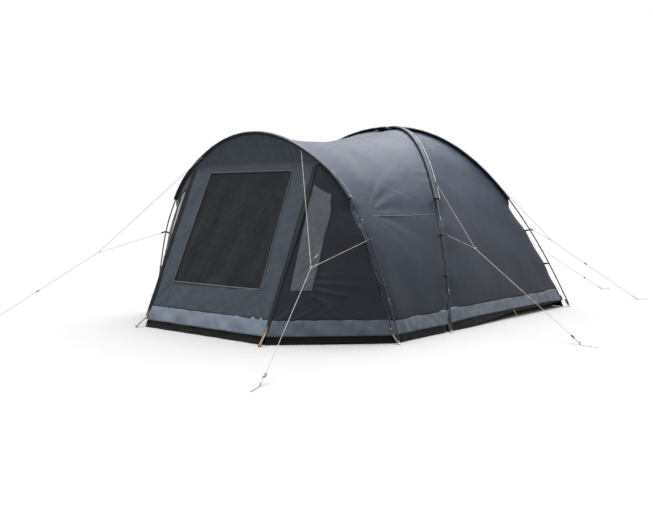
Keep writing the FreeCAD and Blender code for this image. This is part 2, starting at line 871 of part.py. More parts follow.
def guy_parts():
    tabs = []
    rings = []
    pegs = []
    runs = {}
    for side, right in (("right", True), ("left", False)):
        def sided(point):
            return point if right else flipped(point)
        for name, edge, height, ring, peg in guy_jobs(right):
            ring, peg = place(*ring), place(*peg)
            upper = [sided(v) for v in leg_anchor(edge, height, SLEEVE_RADIUS + TAB_GAP, ring)]
            clip_gap = CLIP_RADIUS + TAB_GAP
            lower = [sided(v) for v in leg_anchor(edge, CLIP_HEIGHTS[1], clip_gap, ring)]
            ring, peg = sided(ring), sided(peg)
            full = name + "_" + side
            new_tabs, torus, runs[full] = forked_guy(full, upper, lower, ring, peg)
            tabs += new_tabs
            rings.append(torus)
            pegs.append(peg_solid(peg, peg - ring))
        anchor, out = [sided(v) for v in wall_anchor()]
        peg = sided(place(*WALL_PEG))
        full = "wall_" + side
        new_tabs, runs[full] = single_guy(full, anchor, out, peg)
        tabs += new_tabs
        pegs.append(peg_solid(peg, peg - anchor))
    save("guy_tabs", tabs)
    save("guy_rings", rings)
    save("guy_pegs", pegs)
    for name, run in runs.items():
        share = RUNNER_SHARES.get(name) or RUNNER_SHARES[name.split("_")[0]]
        line_runner(name, run, share)


# The inner tent

def inner_wall(corner_at):
    return [[corner_at(ring, v) for v in spread(0, 1, 3)] for ring in INNER_RINGS]


def doorway(half_width):
    """Half the width of the bedroom's doorway, where the front wall is this wide."""
    return min(INNER_DOOR_HALF, half_width * 0.6)


def inner_parts():
    half, front, rear = TRAY
    wall = TRAY_WALL
    outer = Part.makeBox(2 * half, rear - front, TRAY_DEPTH, place(-half, front, 0))
    inset = place(-half + wall, front + wall, wall)
    hollow = Part.makeBox(2 * (half - wall), rear - front - 2 * wall, TRAY_DEPTH, inset)
    save("groundsheet", [outer.cut(hollow)])
    heart = place(0, CROWN_Y, 500)
    gap = INNER_GAP

    def side(ring, v):
        x, near, far, z = ring
        return place(x, near + gap + (far - near - 2 * gap) * v, z)

    def back(ring, v):
        x, near, far, z = ring
        return place(-x + gap + (2 * x - 2 * gap) * v, far, z)

    def front_row(ring):
        x, near, far, z = ring
        return [place(at, near, z) for at in (-x + gap, -doorway(x), doorway(x), x - gap)]

    walls = [sheet(inner_wall(side), heart), sheet(inner_wall(back), heart)]
    walls.insert(1, mirrored(walls[0]))
    walls.append(sheet([front_row(ring) for ring in INNER_RINGS], heart, CLOTH, ((0, 1), (1, 1))))
    x, near, far, z = INNER_RINGS[-1]
    roof = [[place(-x + 2 * x * v, y, z + 6) for v in spread(0, 1, 2)] for y in (near, far)]
    walls.append(sheet(roof, heart))
    save("inner_tent_walls", walls)
    save("inner_door", [inner_door(heart)])


def inner_door(heart):
    """The bedroom's door, in the plane of the front wall's two lower stretches."""
    margin = 4
    rows = []
    for ring in INNER_RINGS[:3]:
        x, near, far, z = ring
        half = doorway(x) - margin
        rows.append([place(at, near, z) for at in (-half, half)])
    rows[0] = [p + UP * margin for p in rows[0]]
    rows[-1] = [p - UP * margin for p in rows[-1]]
    return sheet(rows, heart)


os.makedirs("parts", exist_ok=True)
pole_parts()
porch_parts()
dome_parts()
front_side_parts()
gable_part()
door_parts()
hem_parts()
foot_parts()
clip_parts()
guy_parts()
inner_parts()
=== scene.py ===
import bpy
import math
import numpy as np
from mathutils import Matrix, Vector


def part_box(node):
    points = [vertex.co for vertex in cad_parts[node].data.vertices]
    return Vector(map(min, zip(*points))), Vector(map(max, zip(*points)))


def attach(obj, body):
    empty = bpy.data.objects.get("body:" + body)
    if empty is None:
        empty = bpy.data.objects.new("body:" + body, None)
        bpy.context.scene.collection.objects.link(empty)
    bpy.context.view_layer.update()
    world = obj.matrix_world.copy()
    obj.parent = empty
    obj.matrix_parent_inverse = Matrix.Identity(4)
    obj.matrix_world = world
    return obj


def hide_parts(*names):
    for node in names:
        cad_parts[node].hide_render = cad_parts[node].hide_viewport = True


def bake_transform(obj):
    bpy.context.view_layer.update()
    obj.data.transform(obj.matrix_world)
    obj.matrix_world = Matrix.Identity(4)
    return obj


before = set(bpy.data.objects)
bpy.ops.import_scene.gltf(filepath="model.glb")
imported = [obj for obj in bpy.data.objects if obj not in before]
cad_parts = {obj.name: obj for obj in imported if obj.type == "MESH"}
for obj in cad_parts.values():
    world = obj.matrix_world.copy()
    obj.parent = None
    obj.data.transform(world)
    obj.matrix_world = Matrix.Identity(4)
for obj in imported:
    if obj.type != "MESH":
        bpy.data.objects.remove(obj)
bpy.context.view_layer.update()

# The tent's own frame: x to the right, y from the hoop's feet to the rear, z up, in metres.
HOOP_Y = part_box("groundsheet")[0][1] - 0.905
HALF_WIDTH, CROWN_Z = 1.6, 2.0
MIDDLE_Y, REAR_Y = 0.8, 3.268
CROWN_Y = (MIDDLE_Y + REAR_Y) / 2
FRONT_Y, DOOR_TOP_Y, DOOR_TOP_Z = -0.777, -0.114, 1.515
HOOP_HALF = (
    (1.6, 0), (1.545, 0.245), (1.47, 0.486), (1.332, 0.88), (1.148, 1.197),
    (0.985, 1.397), (0.77, 1.563), (0.545, 1.688), (0.28, 1.78), (0, 1.812),
)
HOOP_LEAN = 0.07
SLEEVE_END = 1.2
CLIP_HEIGHTS = (0.486, 0.86)
HEM_TOP, HEM_LOW = 0.195, 0.068
HEART_Z = 0.65
POLE_BULGE, ARCH_POWER = 0.107, 2.13
CLOTH_GAP, EDGE_POWER = 0.016, 7
PORCH_SAG, SIDE_SAG, REAR_SAG = 0.108, 0.06, 0.08
MIDDLE = np.array([0, 0.9, 0.6])
RIGHT, LEFT = 1, -1
SIDES = (("right", RIGHT), ("left", LEFT))


def put_in_scene(name, data):
    made = bpy.data.objects.new(name, data)
    bpy.context.scene.collection.objects.link(made)
    return made


# Camera

CAMERA_AT, CAMERA_TURN, CAMERA_DIP, CAMERA_LENS = (5.603, -6.8455, 1.187), 40.57, 3.56, 46.21


def set_camera():
    data = bpy.data.cameras.new("camera")
    data.lens = CAMERA_LENS
    data.sensor_width = 36
    data.clip_end = 200
    camera = put_in_scene("camera", data)
    camera.location = CAMERA_AT
    camera.rotation_euler = (math.radians(90 - CAMERA_DIP), 0, math.radians(CAMERA_TURN))
    bpy.context.scene.camera = camera


set_camera()


# Materials


def add_node(tree, kind, **values):
    """A shader node whose named inputs are each set to a value or linked to an output."""
    made = tree.nodes.new("ShaderNode" + kind)
    for name, value in values.items():
        socket = made.inputs[name.replace("_", " ")]
        if isinstance(value, bpy.types.NodeSocket):
            tree.links.new(value, socket)
        else:
            socket.default_value = value
    return made


def finish(name, colour, rough, specular=0.5, tint=None, metallic=0.0, alpha=1.0,
           grain=0.12, grain_scale=9.0, bump=0.0, bump_scale=400.0, fleck=None, painted_shading=None):
    """A procedural finish: its colour and roughness vary a little, and it has a fine relief.

    painted_shading gives how far the colour is darkened near the ground as painted shade, and
    lightened on top as painted light.
    """
    made = bpy.data.materials.new(name)
    made.use_nodes = True
    tree = made.node_tree
    shader = tree.nodes["Principled BSDF"].inputs
    shader["Metallic"].default_value = metallic
    shader["Specular IOR Level"].default_value = specular
    shader["Alpha"].default_value = alpha
    if tint:
        shader["Specular Tint"].default_value = (*tint, 1)
    place = add_node(tree, "TexCoord").outputs["Object"]
    noise = add_node(tree, "TexNoise", Vector=place, Scale=grain_scale, Detail=4).outputs["Fac"]
    ramp = add_node(tree, "ValToRGB", Fac=noise)
    for stop, position, change in zip(ramp.color_ramp.elements, (0.3, 0.7), (-grain, grain)):
        stop.position = position
        stop.color = (*[min(c * (1 + change), 1) for c in colour], 1)
    colours = ramp.outputs["Color"]
    if fleck:
        colours = flecked(tree, place, colours, fleck)
    # Painted shade near the ground and painted light on top, by height.
    if painted_shading:
        colours = paint_height_shading(tree, place, colours, painted_shading)
    tree.links.new(colours, shader["Base Color"])
    spread = add_node(tree, "MapRange", Value=noise, To_Min=rough * 0.85,
                      To_Max=min(rough * 1.15, 1))
    tree.links.new(spread.outputs["Result"], shader["Roughness"])
    if bump:
        relief = add_node(tree, "TexNoise", Vector=place, Scale=bump_scale, Detail=3)
        bumps = add_node(tree, "Bump", Strength=bump, Distance=0.002, Height=relief.outputs["Fac"])
        tree.links.new(bumps.outputs["Normal"], shader["Normal"])
    return made


def paint_height_shading(tree, place, colours, painted_shading):
    """Painted shade low down and painted light higher up: the colour is scaled by height."""
    height = add_node(tree, "SeparateXYZ", Vector=place).outputs["Z"]
    share = add_node(tree, "MapRange", Value=height, From_Min=0.2, From_Max=1.75,
                     To_Min=painted_shading[0], To_Max=painted_shading[1])
    scale = add_node(tree, "VectorMath")
    scale.operation = "SCALE"
    tree.links.new(colours, scale.inputs[0])
    tree.links.new(share.outputs["Result"], scale.inputs["Scale"])
    return scale.outputs["Vector"]


def flecked(tree, place, colours, fleck):
    """Mixes short flecks of another colour into a cord's braid."""
    cells = add_node(tree, "TexNoise", Vector=place, Scale=55, Detail=0)
    sharp = add_node(tree, "MapRange", Value=cells.outputs["Fac"], From_Min=0.57, From_Max=0.61)
    mix = add_node(tree, "Mix")
    mix.data_type = "RGBA"
    tree.links.new(sharp.outputs["Result"], mix.inputs["Factor"])
    tree.links.new(colours, mix.inputs["A"])
    mix.inputs["B"].default_value = (*fleck, 1)
    return mix.outputs["Result"]


def cloth_finish(name, colour, rough, specular, bump=0.12, painted_shading=None):
    """The coated cloths: their sheen is a little blue."""
    return finish(name, colour, rough, specular, (0.8, 0.88, 1.0), bump=bump, painted_shading=painted_shading)


# The fly's cloth carries painted shade low down and painted light high up.
FLY = cloth_finish("fly_cloth", (0.015, 0.020, 0.032), 0.52, 0.2, painted_shading=(0.38, 1.35))
FLY_DARK = cloth_finish("dark_fly_cloth", (0.010, 0.012, 0.016), 0.4, 0.15, 0.1)
# The fly's cloth made lighter for the gable and door: painted light.
LIT_FRONT_CLOTH = cloth_finish("front_cloth", (0.024, 0.030, 0.039), 0.47, 0.2)
HEM = cloth_finish("hem_cloth", (0.084, 0.100, 0.126), 0.42, 0.3)
# The hem cloth again, darker, for every hem but the door's: painted shade.
SHADED_HEM = cloth_finish("side_hem_cloth", (0.045, 0.054, 0.069), 0.42, 0.3)
SLEEVE = cloth_finish("sleeve_cloth", (0.007, 0.009, 0.013), 0.5, 0.25, 0.15)
SEAM = cloth_finish("seam_tape", (0.024, 0.032, 0.050), 0.4, 0.35, 0.15)
FLAP = finish("mud_flap_cloth", (0.002, 0.002, 0.002), 0.5, 0.12, bump=0.1)
PIPING = finish("piping", (0.26, 0.28, 0.32), 0.5, bump=0.1)
TAPE = finish("edge_tape", (0.030, 0.036, 0.046), 0.5, 0.2, bump=0.2, bump_scale=700)
TRIM = finish("trim_tape", (0.012, 0.015, 0.02), 0.55, bump=0.2, bump_scale=700)
MESH = finish("insect_mesh", (0.006, 0.007, 0.009), 0.6, 0.12, alpha=0.95, grain=0.35,
              grain_scale=3.5, bump=0.3, bump_scale=300)
FILM = finish("window_film", (0.034, 0.042, 0.053), 0.13, 0.7, alpha=0.88,
              grain=0.3, grain_scale=6)
ZIP = finish("zip_coil", (0.004, 0.004, 0.005), 0.5, 0.3, bump=0.5, bump_scale=900)
ZIP_METAL = finish("zip_slider_enamel", (0.03, 0.03, 0.033), 0.3, metallic=0.6)
POLE = finish("pole_lacquer", (0.008, 0.008, 0.009), 0.28, grain=0.2, grain_scale=40)
FERRULE = finish("ferrule_metal", (0.09, 0.09, 0.1), 0.35, metallic=1.0, grain_scale=90)
STEEL = finish("zinc_steel", (0.42, 0.42, 0.43), 0.35, metallic=1.0, bump=0.2)
WEBBING = finish("tan_webbing", (0.16, 0.10, 0.062), 0.75, 0.3, grain=0.25,
                 grain_scale=160, bump=0.7, bump_scale=900)
TAB = finish("dark_webbing", (0.014, 0.015, 0.018), 0.7, 0.3, grain=0.2,
             grain_scale=160, bump=0.7, bump_scale=900)
PLASTIC = finish("moulded_plastic", (0.009, 0.009, 0.010), 0.42, bump=0.1,
                 bump_scale=900)
TRAY_CLOTH = finish("groundsheet_cloth", (0.010, 0.010, 0.012), 0.5, bump=0.15)
INNER = finish("inner_cloth", (0.40, 0.42, 0.46), 0.75, 0.2, bump=0.2)
CORD = finish("guyline_braid", (0.27, 0.26, 0.245), 0.7, 0.2, bump=0.6,
              bump_scale=1500, fleck=(0.27, 0.17, 0.10))
CORD_TAN = finish("tan_braid", (0.22, 0.13, 0.075), 0.7, 0.2, bump=0.6, bump_scale=1500)


# Lines and grids of points

def unit(v):
    v = np.asarray(v, float)
    return v / np.linalg.norm(v, axis=-1, keepdims=True)


def ease(x):
    x = np.clip(x, 0, 1)
    return x * x * (3 - 2 * x)


def shares(count):
    return np.linspace(0, 1, count)


def points_of(x, y, z):
    return np.stack(np.broadcast_arrays(x, y, z), -1).astype(float)


def mirror(points, side):
    return np.asarray(points, float) * np.array([side, 1, 1])


def smooth_line(corners):
    """Closely spaced points on a smooth curve through the corners: a natural cubic spline."""
    p = np.asarray(corners, float)
    h = np.linalg.norm(np.diff(p, axis=0), axis=1)
    n = len(p)
    system = np.eye(n)
    wanted = np.zeros((n, 3))
    for i in range(1, n - 1):
        system[i, i - 1:i + 2] = h[i - 1], 2 * (h[i - 1] + h[i]), h[i]
        wanted[i] = 6 * ((p[i + 1] - p[i]) / h[i] - (p[i] - p[i - 1]) / h[i - 1])
    m = np.linalg.solve(system, wanted)
    pieces = []
    for i in range(n - 1):
        x = np.linspace(0, h[i], 40, endpoint=False)[:, None]
        y = h[i] - x
        bend = (m[i] * y ** 3 + m[i + 1] * x ** 3) / (6 * h[i])
        straight = (p[i] / h[i] - m[i] * h[i] / 6) * y + (p[i + 1] / h[i] - m[i + 1] * h[i] / 6) * x
        pieces.append(bend + straight)
    return np.concatenate(pieces + [p[-1:]])


class Line:
    """A line through closely spaced points, read by the share of its length."""

    def __init__(self, points):
        self.points = np.asarray(points, float)
        steps = np.linalg.norm(np.diff(self.points, axis=0), axis=1)
        self.length = steps.sum()
        self.shares = np.concatenate([[0], np.cumsum(steps)]) / self.length

    def at(self, share):
        return np.stack([np.interp(share, self.shares, self.points[:, k]) for k in range(3)], -1)

    def heading(self, share):
        return unit(self.at(np.minimum(share + 0.004, 1)) - self.at(np.maximum(share - 0.004, 0)))

    def share_at(self, height):
        return np.interp(height, self.points[:, 2], self.shares)


def hoop_line():
    """The hoop's right-hand half, from its foot to its top."""
    right = [(x, -HOOP_LEAN * z, z) for x, z in HOOP_HALF]
    left = [(-x, y, z) for x, y, z in right[:-1]]
    whole = smooth_line(right + left[::-1])
    return Line(whole[:len(whole) // 2 + 1])


def dome_line(foot_y):
    """A right-hand leg of a crossing pole, from its foot to the crown."""
    share = shares(600)[:, None]
    foot = np.array([HALF_WIDTH, foot_y, 0])
    run = np.array([0, CROWN_Y, 0]) - foot
    side = unit([-run[1], run[0], 0])
    side = side * np.sign(side[1] * (CROWN_Y - foot_y))
    points = foot + run * share + side * POLE_BULGE * 4 * share * (1 - share)
    points[:, 2] = CROWN_Z * (1 - (1 - share[:, 0]) ** ARCH_POWER)
    return Line(points)


HOOP, MIDDLE_LEG, REAR_LEG = hoop_line(), dome_line(MIDDLE_Y), dome_line(REAR_Y)


def heart_of(line, p):
    """The point inside the tent that the cloth at p is pulled towards."""
    y = p[..., 1] if line is HOOP else CROWN_Y
    return points_of(0, y, np.minimum(HEART_Z, p[..., 2] - 1e-4))


def edge_gap(height):
    """How much further inside its pole the cloth's edge runs between the clips than at a sleeve."""
    low = ease((SLEEVE_END - height) / 0.08)
    swing = np.interp(height, (0, HEM_TOP, *CLIP_HEIGHTS, SLEEVE_END), (0, 0, 1, 2, 3))
    return low * (0.040 + 0.012 * np.sin(np.pi * swing) ** 2)


def edge_of(line, share, wide=1):
    """The cloth's edge along a leg, with or without the wider gap between the clips."""
    p = line.at(share)
    top = share if line is not HOOP else share * 0
    gap = CLOTH_GAP + wide * edge_gap(p[..., 2]) + 0.008 * ease((top - 0.86) / 0.1)
    return p + unit(heart_of(line, p) - p) * gap[..., None]


def edges_of(line, share, side=RIGHT):
    """A leg's edge without the wider gap, and the step from there to its true edge."""
    plain = edge_of(line, share, 0)
    return mirror(plain, side), mirror(edge_of(line, share) - plain, side)


def bow(share):
    """0 at both ends of a span and 1 in its middle."""
    return 4 * share * (1 - share)


def spanned(line, start, end, v, sag):
    """Cloth stretched between two edges, sagging inwards as the cloth beside a line does."""
    (a, step_a), (b, step_b) = start, end
    p = a + (b - a) * v[..., None]
    p = p + step_a * (np.clip(1 - 2 * v, 0, 1) ** EDGE_POWER)[..., None]
    p = p + step_b * (np.clip(2 * v - 1, 0, 1) ** EDGE_POWER)[..., None]
    return p + unit(heart_of(line, p) - p) * (sag * bow(v))[..., None]


def porch_surface(share, v, side=RIGHT):
    """The porch's cloth; share runs up a side to the ridge, v from the hoop to the middle leg."""
    a = edges_of(HOOP, share)
    b = edges_of(MIDDLE_LEG, share * (0.95 + 0.05 * ease((share - 0.8) / 0.2)))
    span = np.linalg.norm(b[0] - a[0], axis=-1)
    return mirror(spanned(HOOP, a, b, v, PORCH_SAG * (span / 2.16) ** 2), side)


def side_surface(share, v, side=RIGHT):
    a, b = edges_of(MIDDLE_LEG, share), edges_of(REAR_LEG, share)
    return mirror(spanned(MIDDLE_LEG, a, b, v, SIDE_SAG * bow(share)), side)


def rear_surface(share, v, side=RIGHT):
    a, b = edges_of(REAR_LEG, share), edges_of(REAR_LEG, share, LEFT)
    return mirror(spanned(REAR_LEG, a, b, v, REAR_SAG * bow(share)), side)


DOOR_OUT = unit([0, -DOOR_TOP_Z, DOOR_TOP_Y - FRONT_Y])
PANEL_X = 0.796


def door_point(x, z, out=0.0):
    y = FRONT_Y + (DOOR_TOP_Y - FRONT_Y) * z / DOOR_TOP_Z
    return points_of(x, y, z) + DOOR_OUT * np.asarray(out)[..., None]


def front_side_surface(z, v, side=RIGHT):
    """The front's side panel, from beside the zip to the hoop's leg, by height."""
    a = door_point(PANEL_X, z)
    b, step = edges_of(HOOP, HOOP.share_at(z * 1.01))
    p = a + (b - np.array([0, 0.004, 0]) - a) * v[..., None] + step * (v ** 4)[..., None]
    return mirror(p, side)


def mesh_grid(rows, columns):
    return np.meshgrid(rows, columns, indexing="ij")


def hole_in(grid, rows, columns):
    """The cells of a grid that a window leaves out, and 0 for its points and 1 elsewhere."""
    hole = np.zeros((len(grid) - 1, grid.shape[1] - 1), bool)
    hole[rows[0]:rows[1], columns[0]:columns[1]] = True
    held = np.ones(grid.shape[:2])
    held[rows[0]:rows[1] + 1, columns[0]:columns[1] + 1] = 0
    return hole, held


def lengths(grid):
    """Distances in metres along the rows, from their middle, and up the columns."""
    step = np.linalg.norm(np.diff(grid, axis=1), axis=2)
    across = np.concatenate([np.zeros((len(grid), 1)), np.cumsum(step, axis=1)], 1)
    across = across - across[:, -1:] / 2
    step = np.linalg.norm(np.diff(grid, axis=0), axis=2)
    up = np.concatenate([np.zeros((1, grid.shape[1])), np.cumsum(step, axis=0)], 0)
    return across, up


def normals(grid):
    """Outward directions of a grid of points."""
    n = np.cross(np.gradient(grid, axis=0), np.gradient(grid, axis=1))
    n = n / np.maximum(np.linalg.norm(n, axis=2, keepdims=True), 1e-12)
    outwards = np.sum(n * (grid - MIDDLE)) > 0
    return n if outwards else -n


def pushed(grid, out):
    return grid + normals(grid) * out[..., None]


# Folds in cloth, as heights over a panel

def ripple(x, y, size, seed, lean=None):
    """Waves of about one size in mixed directions, or mostly across one direction."""
    chance = np.random.default_rng(seed)
    total = 0
    for _ in range(8):
        angle = chance.uniform(0, math.tau) if lean is None else lean + chance.normal(0, 0.18)
        number = math.tau / (size * chance.uniform(0.65, 1.6))
        total = total + np.sin(number * (x * math.cos(angle) + y * math.sin(angle))
                               + chance.uniform(0, math.tau))
    return total / 2.8


def puckers(along, away, pitch, size, reach, seed):
    """Short gathers at right angles to a seam, dying out away from it."""
    return size * ripple(along, 0 * along, pitch, seed, 0.0) * np.exp(-np.abs(away) / reach)


def fan(x, y, centre, reach, count, size, seed, start, end):
    """Folds that radiate from a point, between two directions."""
    dx, dy = x - centre[0], y - centre[1]
    r = np.hypot(dx, dy) + 1e-6
    angle = np.arctan2(dy, dx)
    chance = np.random.default_rng(seed)
    total = 0
    for _ in range(4):
        total = total + np.sin(angle * count * chance.uniform(0.6, 1.5)
                               + chance.uniform(0, math.tau) + 3 * r)
    middle, half = (start + end) / 2, (end - start) / 2
    inside = np.exp(-(((angle - middle) / half) ** 4))
    return size * total / 2 * inside * (r / reach) * np.exp(1 - r / reach)


# Making pieces

declared_area = {}


def add_object(name, data, material, nodes=(), body="tent"):
    piece = put_in_scene(name, data)
    data.materials.append(material)
    if body:
        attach(piece, body)
    if nodes:
        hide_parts(*nodes)
    return piece


def add_edge(piece, thick, offset):
    """Gives a sheet its thickness, on one side of its surface or about its middle."""
    solid = piece.modifiers.new("edge", "SOLIDIFY")
    solid.thickness = thick
    solid.offset = offset


def add_mesh(name, vertices, faces, material, nodes=(), body="tent"):
    data = bpy.data.meshes.new(name)
    vertices = np.asarray(vertices, float).reshape(-1, 3) + np.array([0, HOOP_Y, 0])
    data.from_pydata(vertices.tolist(), [], [list(map(int, f)) for f in faces])
    data.validate()
    data.polygons.foreach_set("use_smooth", [True] * len(data.polygons))
    return add_object(name, data, material, nodes, body)


def grid_faces(rows, columns, hole=None, closed=False):
    index = np.arange(rows * columns).reshape(rows, columns)
    if closed:
        index = np.concatenate([index, index[:, :1]], 1)
    cells = np.stack([index[:-1, :-1], index[:-1, 1:], index[1:, 1:], index[1:, :-1]], -1)
    cells = cells.reshape(-1, 4)
    return cells if hole is None else cells[~hole.reshape(-1)]


def cloth(name, grid, material, nodes=(), hole=None, thick=0.0012, body="tent"):
    """A panel of cloth over a grid of points, facing outwards, with a thin edge."""
    faces = grid_faces(*grid.shape[:2], hole)
    used, faces = np.unique(faces, return_inverse=True)
    faces = faces.reshape(-1, 4)
    vertices = grid.reshape(-1, 3)[used]
    a, b, c = (vertices[faces[:, k]] for k in (0, 1, 2))
    if np.sum(np.cross(b - a, c - a) * (a - MIDDLE)) < 0:
        faces = faces[:, ::-1]
    d = vertices[faces[:, 3]]
    a, b, c = (vertices[faces[:, k]] for k in (0, 1, 2))
    halves = np.linalg.norm(np.cross(b - a, c - a), axis=1) + np.linalg.norm(
        np.cross(c - a, d - a), axis=1)
    piece = add_mesh(name, vertices, faces, material, nodes, body)
    if thick:
        add_edge(piece, thick, -1)
    declared_area[name] = float(halves.sum() / 2)
    return piece


def declare_sheet(piece, grid, held, *rests_on):
    """Works out a panel's area, for a cut as wide and long as the cloth itself; the result is not
    kept.
    """
    width = float(np.linalg.norm(np.diff(grid, axis=1), axis=2).sum(1).max())
    length = float(np.linalg.norm(np.diff(grid, axis=0), axis=2).sum(0).max())
    area = min(declared_area[piece.name], width * length)
    area = max(area, 0.3 * width * length)


def tube(name, line, radius, material, nodes=(), sides=10, shape=None, towards=None):
    """A closed tube along a line of points. shape gives the radius by row and by angle from
    the direction towards, which is a vector for each row."""
    line = np.asarray(line, float)
    rows = len(line)
    along = unit(np.gradient(line, axis=0))
    if towards is None:
        towards = np.tile([0.31, 0.17, 0.93], (rows, 1))
    first = unit(towards - along * np.sum(towards * along, axis=1, keepdims=True))
    second = np.cross(along, first)
    angle = np.arange(sides) / sides * math.tau
    r = np.full((rows, sides), radius) if shape is None else shape(np.arange(rows)[:, None], angle)
    ring = (first[:, None] * np.cos(angle)[None, :, None]
            + second[:, None] * np.sin(angle)[None, :, None])
    vertices = line[:, None] + ring * r[..., None]
    faces = [list(f) for f in grid_faces(rows, sides, closed=True)]
    faces.append(list(range(sides))[::-1])
    faces.append(list(range((rows - 1) * sides, rows * sides)))
    return add_mesh(name, vertices, faces, material, nodes)


def strip(name, edge_a, edge_b, material, nodes=(), thick=0.002):
    """A flat band of webbing or tape between two lines of points, with rounded sides."""
    v = shares(5)[None, :, None]
    grid = edge_a[:, None] * (1 - v) + edge_b[:, None] * v
    piece = cloth(name, grid, material, nodes, thick=thick)
    piece.modifiers["edge"].offset = 0
    return piece


def webbing(name, path, facing, width, material, nodes=(), thick=0.002):
    """A strap along a path of corners, facing one way."""
    line = Line(path)
    share = shares(max(8, int(line.length / 0.006)))
    p = line.at(share)
    along = unit(np.gradient(p, axis=0))
    across = unit(np.cross(along, np.asarray(facing, float)))
    return strip(name, p - across * width / 2, p + across * width / 2, material, nodes, thick)


# Guylines

CORD_DIAMETER = 0.004
CORD_ASIDE = 0.0046
GUY_TOPS = {"front": (HOOP, 1.64), "middle": (MIDDLE_LEG, 1.352), "rear": (REAR_LEG, 1.352)}
RINGS = {"front": (1.39, -0.86, 0.676), "middle": (1.628, 1.15, 0.744), "rear": (1.38, 3.228, 0.74)}
PEGS = {"front_right": (1.837, -1.852, 0.013), "front_left": (1.971, -1.721, 0.013),
        "middle": (2.74, 0.948, 0.013), "rear": (1.926, 4.404, 0.013)}
WALL_PEG = (1.143, 5.251, 0.013)
UP = np.array([0, 0, 1.0])


def leg_anchor(line, height, gap, ring):
    """A place beside a leg's sleeve or clip, towards a ring, and the way that its tab faces."""
    share = line.share_at(height)
    p, axis = line.at(share), line.heading(share)
    way = np.asarray(ring) - p
    out = unit(way - axis * (way @ axis))
    return p + out * gap, np.cross(axis, out)


def wall_anchor():
    """Where a rear guyline's tab is sewn to the wall, and the way that the wall faces there."""
    def wall(share, v):
        leg = REAR_LEG.at(share)
        p = leg + (mirror(leg, LEFT) - leg) * v
        inward = unit(np.array([0, CROWN_Y, HEART_Z]) - p)
        return p + inward * (0.024 + REAR_SAG * bow(share) * bow(v))

    share = REAR_LEG.share_at(1.38)
    at = wall(share, 0.27)
    out = unit(np.cross(wall(share, 0.28) - at, wall(share + 0.01, 0.27) - at))
    return at + out * 0.005, out


def add_cord(name, points):
    """A taut braided cord along a route's corners."""
    data = bpy.data.curves.new("cord_" + name, "CURVE")
    data.dimensions = "3D"
    data.bevel_depth = CORD_DIAMETER / 2
    data.bevel_resolution = 3
    data.resolution_u = 10
    data.use_fill_caps = True
    spline = data.splines.new("NURBS")
    spline.points.add(len(points) - 1)
    placed = np.asarray(points) + np.array([0, HOOP_Y, 0])
    for point, at in zip(spline.points, placed):
        point.co = (*at, 1)
    spline.order_u = 3
    spline.use_endpoint_u = True
    piece = add_object("cord_" + name, data, CORD, ("guy_" + name,))


def coil(at, way, turns, length, radius):
    """Points of a line wound round a direction."""
    angle = np.linspace(0, turns * math.tau, 60)[:, None]
    first = unit(np.cross(way, UP))
    second = np.cross(way, first)
    return (at + way * (angle / angle[-1] * length) + first * (radius * np.cos(angle))
            + second * (radius * np.sin(angle)))


def whipping(name, at, way):
    """Turns of thread that hold a cord's loop closed."""
    tube("whipping_" + name, coil(at, unit(way), 5, 0.014, 0.0030), 0.0012, CORD, sides=6)


def guy_tab(name, anchor, out, towards):
    """A loop of webbing that the cord is tied to; gives the cord's first point."""
    way = unit(towards - anchor)
    tip = anchor + way * 0.034
    path = [anchor - way * 0.012, anchor, anchor + way * 0.017 + out * 0.002, tip]
    webbing(name, path, out, 0.016, TAB, thick=0.003)
    return anchor + way * 0.035


def eye_corners(start, peg):
    way = unit(peg - start)
    across = unit(np.cross(way, UP))
    far = peg + way * 0.007
    return [far - across * 0.006, far + across * 0.006, peg - way * 0.06 + across * CORD_ASIDE]


def near(corner, towards):
    """A point six diameters from a corner, which keeps a long straight run straight."""
    return corner + unit(towards - corner) * 6 * CORD_DIAMETER


def doubled_stretch(name, ring, peg):
    """Where a guyline is doubled back on itself below its ring, to a knot; gives the pieces."""
    way = unit(peg - ring)
    aside = unit(np.cross(way, UP)) * CORD_ASIDE
    start, end = ring + way * 0.03, ring + (peg - ring) * 0.47
    line = start + (end - start) * shares(60)[:, None] + aside
    tube("doubled_" + name, line, CORD_DIAMETER / 2, CORD_TAN, sides=8)
    knot = coil(end - way * 0.008 + aside / 2, way, 4, 0.016, 0.0055)
    tube("knot_" + name, knot, CORD_DIAMETER / 2, CORD_TAN, sides=8)
    return ["doubled_" + name, "knot_" + name]


def forked_guy(name, upper, lower, ring, peg):
    start = guy_tab("tab_" + name, *upper, ring)
    eye = eye_corners(ring, peg)
    route = [start, near(ring, start), ring, near(ring, eye[0]), near(eye[0], ring)] + eye
    pieces = ["runner_" + name]
    if name.startswith("middle"):
        pieces += doubled_stretch(name, ring, eye[0])
    add_cord(name, route)
    branch_start = guy_tab("tab_branch_" + name, *lower, ring)
    branch_end = ring + unit(branch_start - ring) * 0.014
    add_cord("branch_" + name, [branch_start, (branch_start + branch_end) / 2, branch_end])
    whipping("top_" + name, start + unit(ring - start) * 0.004, ring - start)
    whipping("branch_" + name, branch_start, ring - branch_start)
    whipping("ring_" + name, ring + unit(branch_start - ring) * 0.02, branch_start - ring)
    whipping("peg_" + name, eye[2], ring - eye[2])


def wall_guy(name, anchor, out, peg):
    start = guy_tab("tab_" + name, anchor, out, peg)
    eye = eye_corners(anchor, peg)
    add_cord(name, [start, near(eye[0], start)] + eye)
    whipping("top_" + name, start + unit(peg - start) * 0.004, peg - start)
    whipping("peg_" + name, eye[2], start - eye[2])


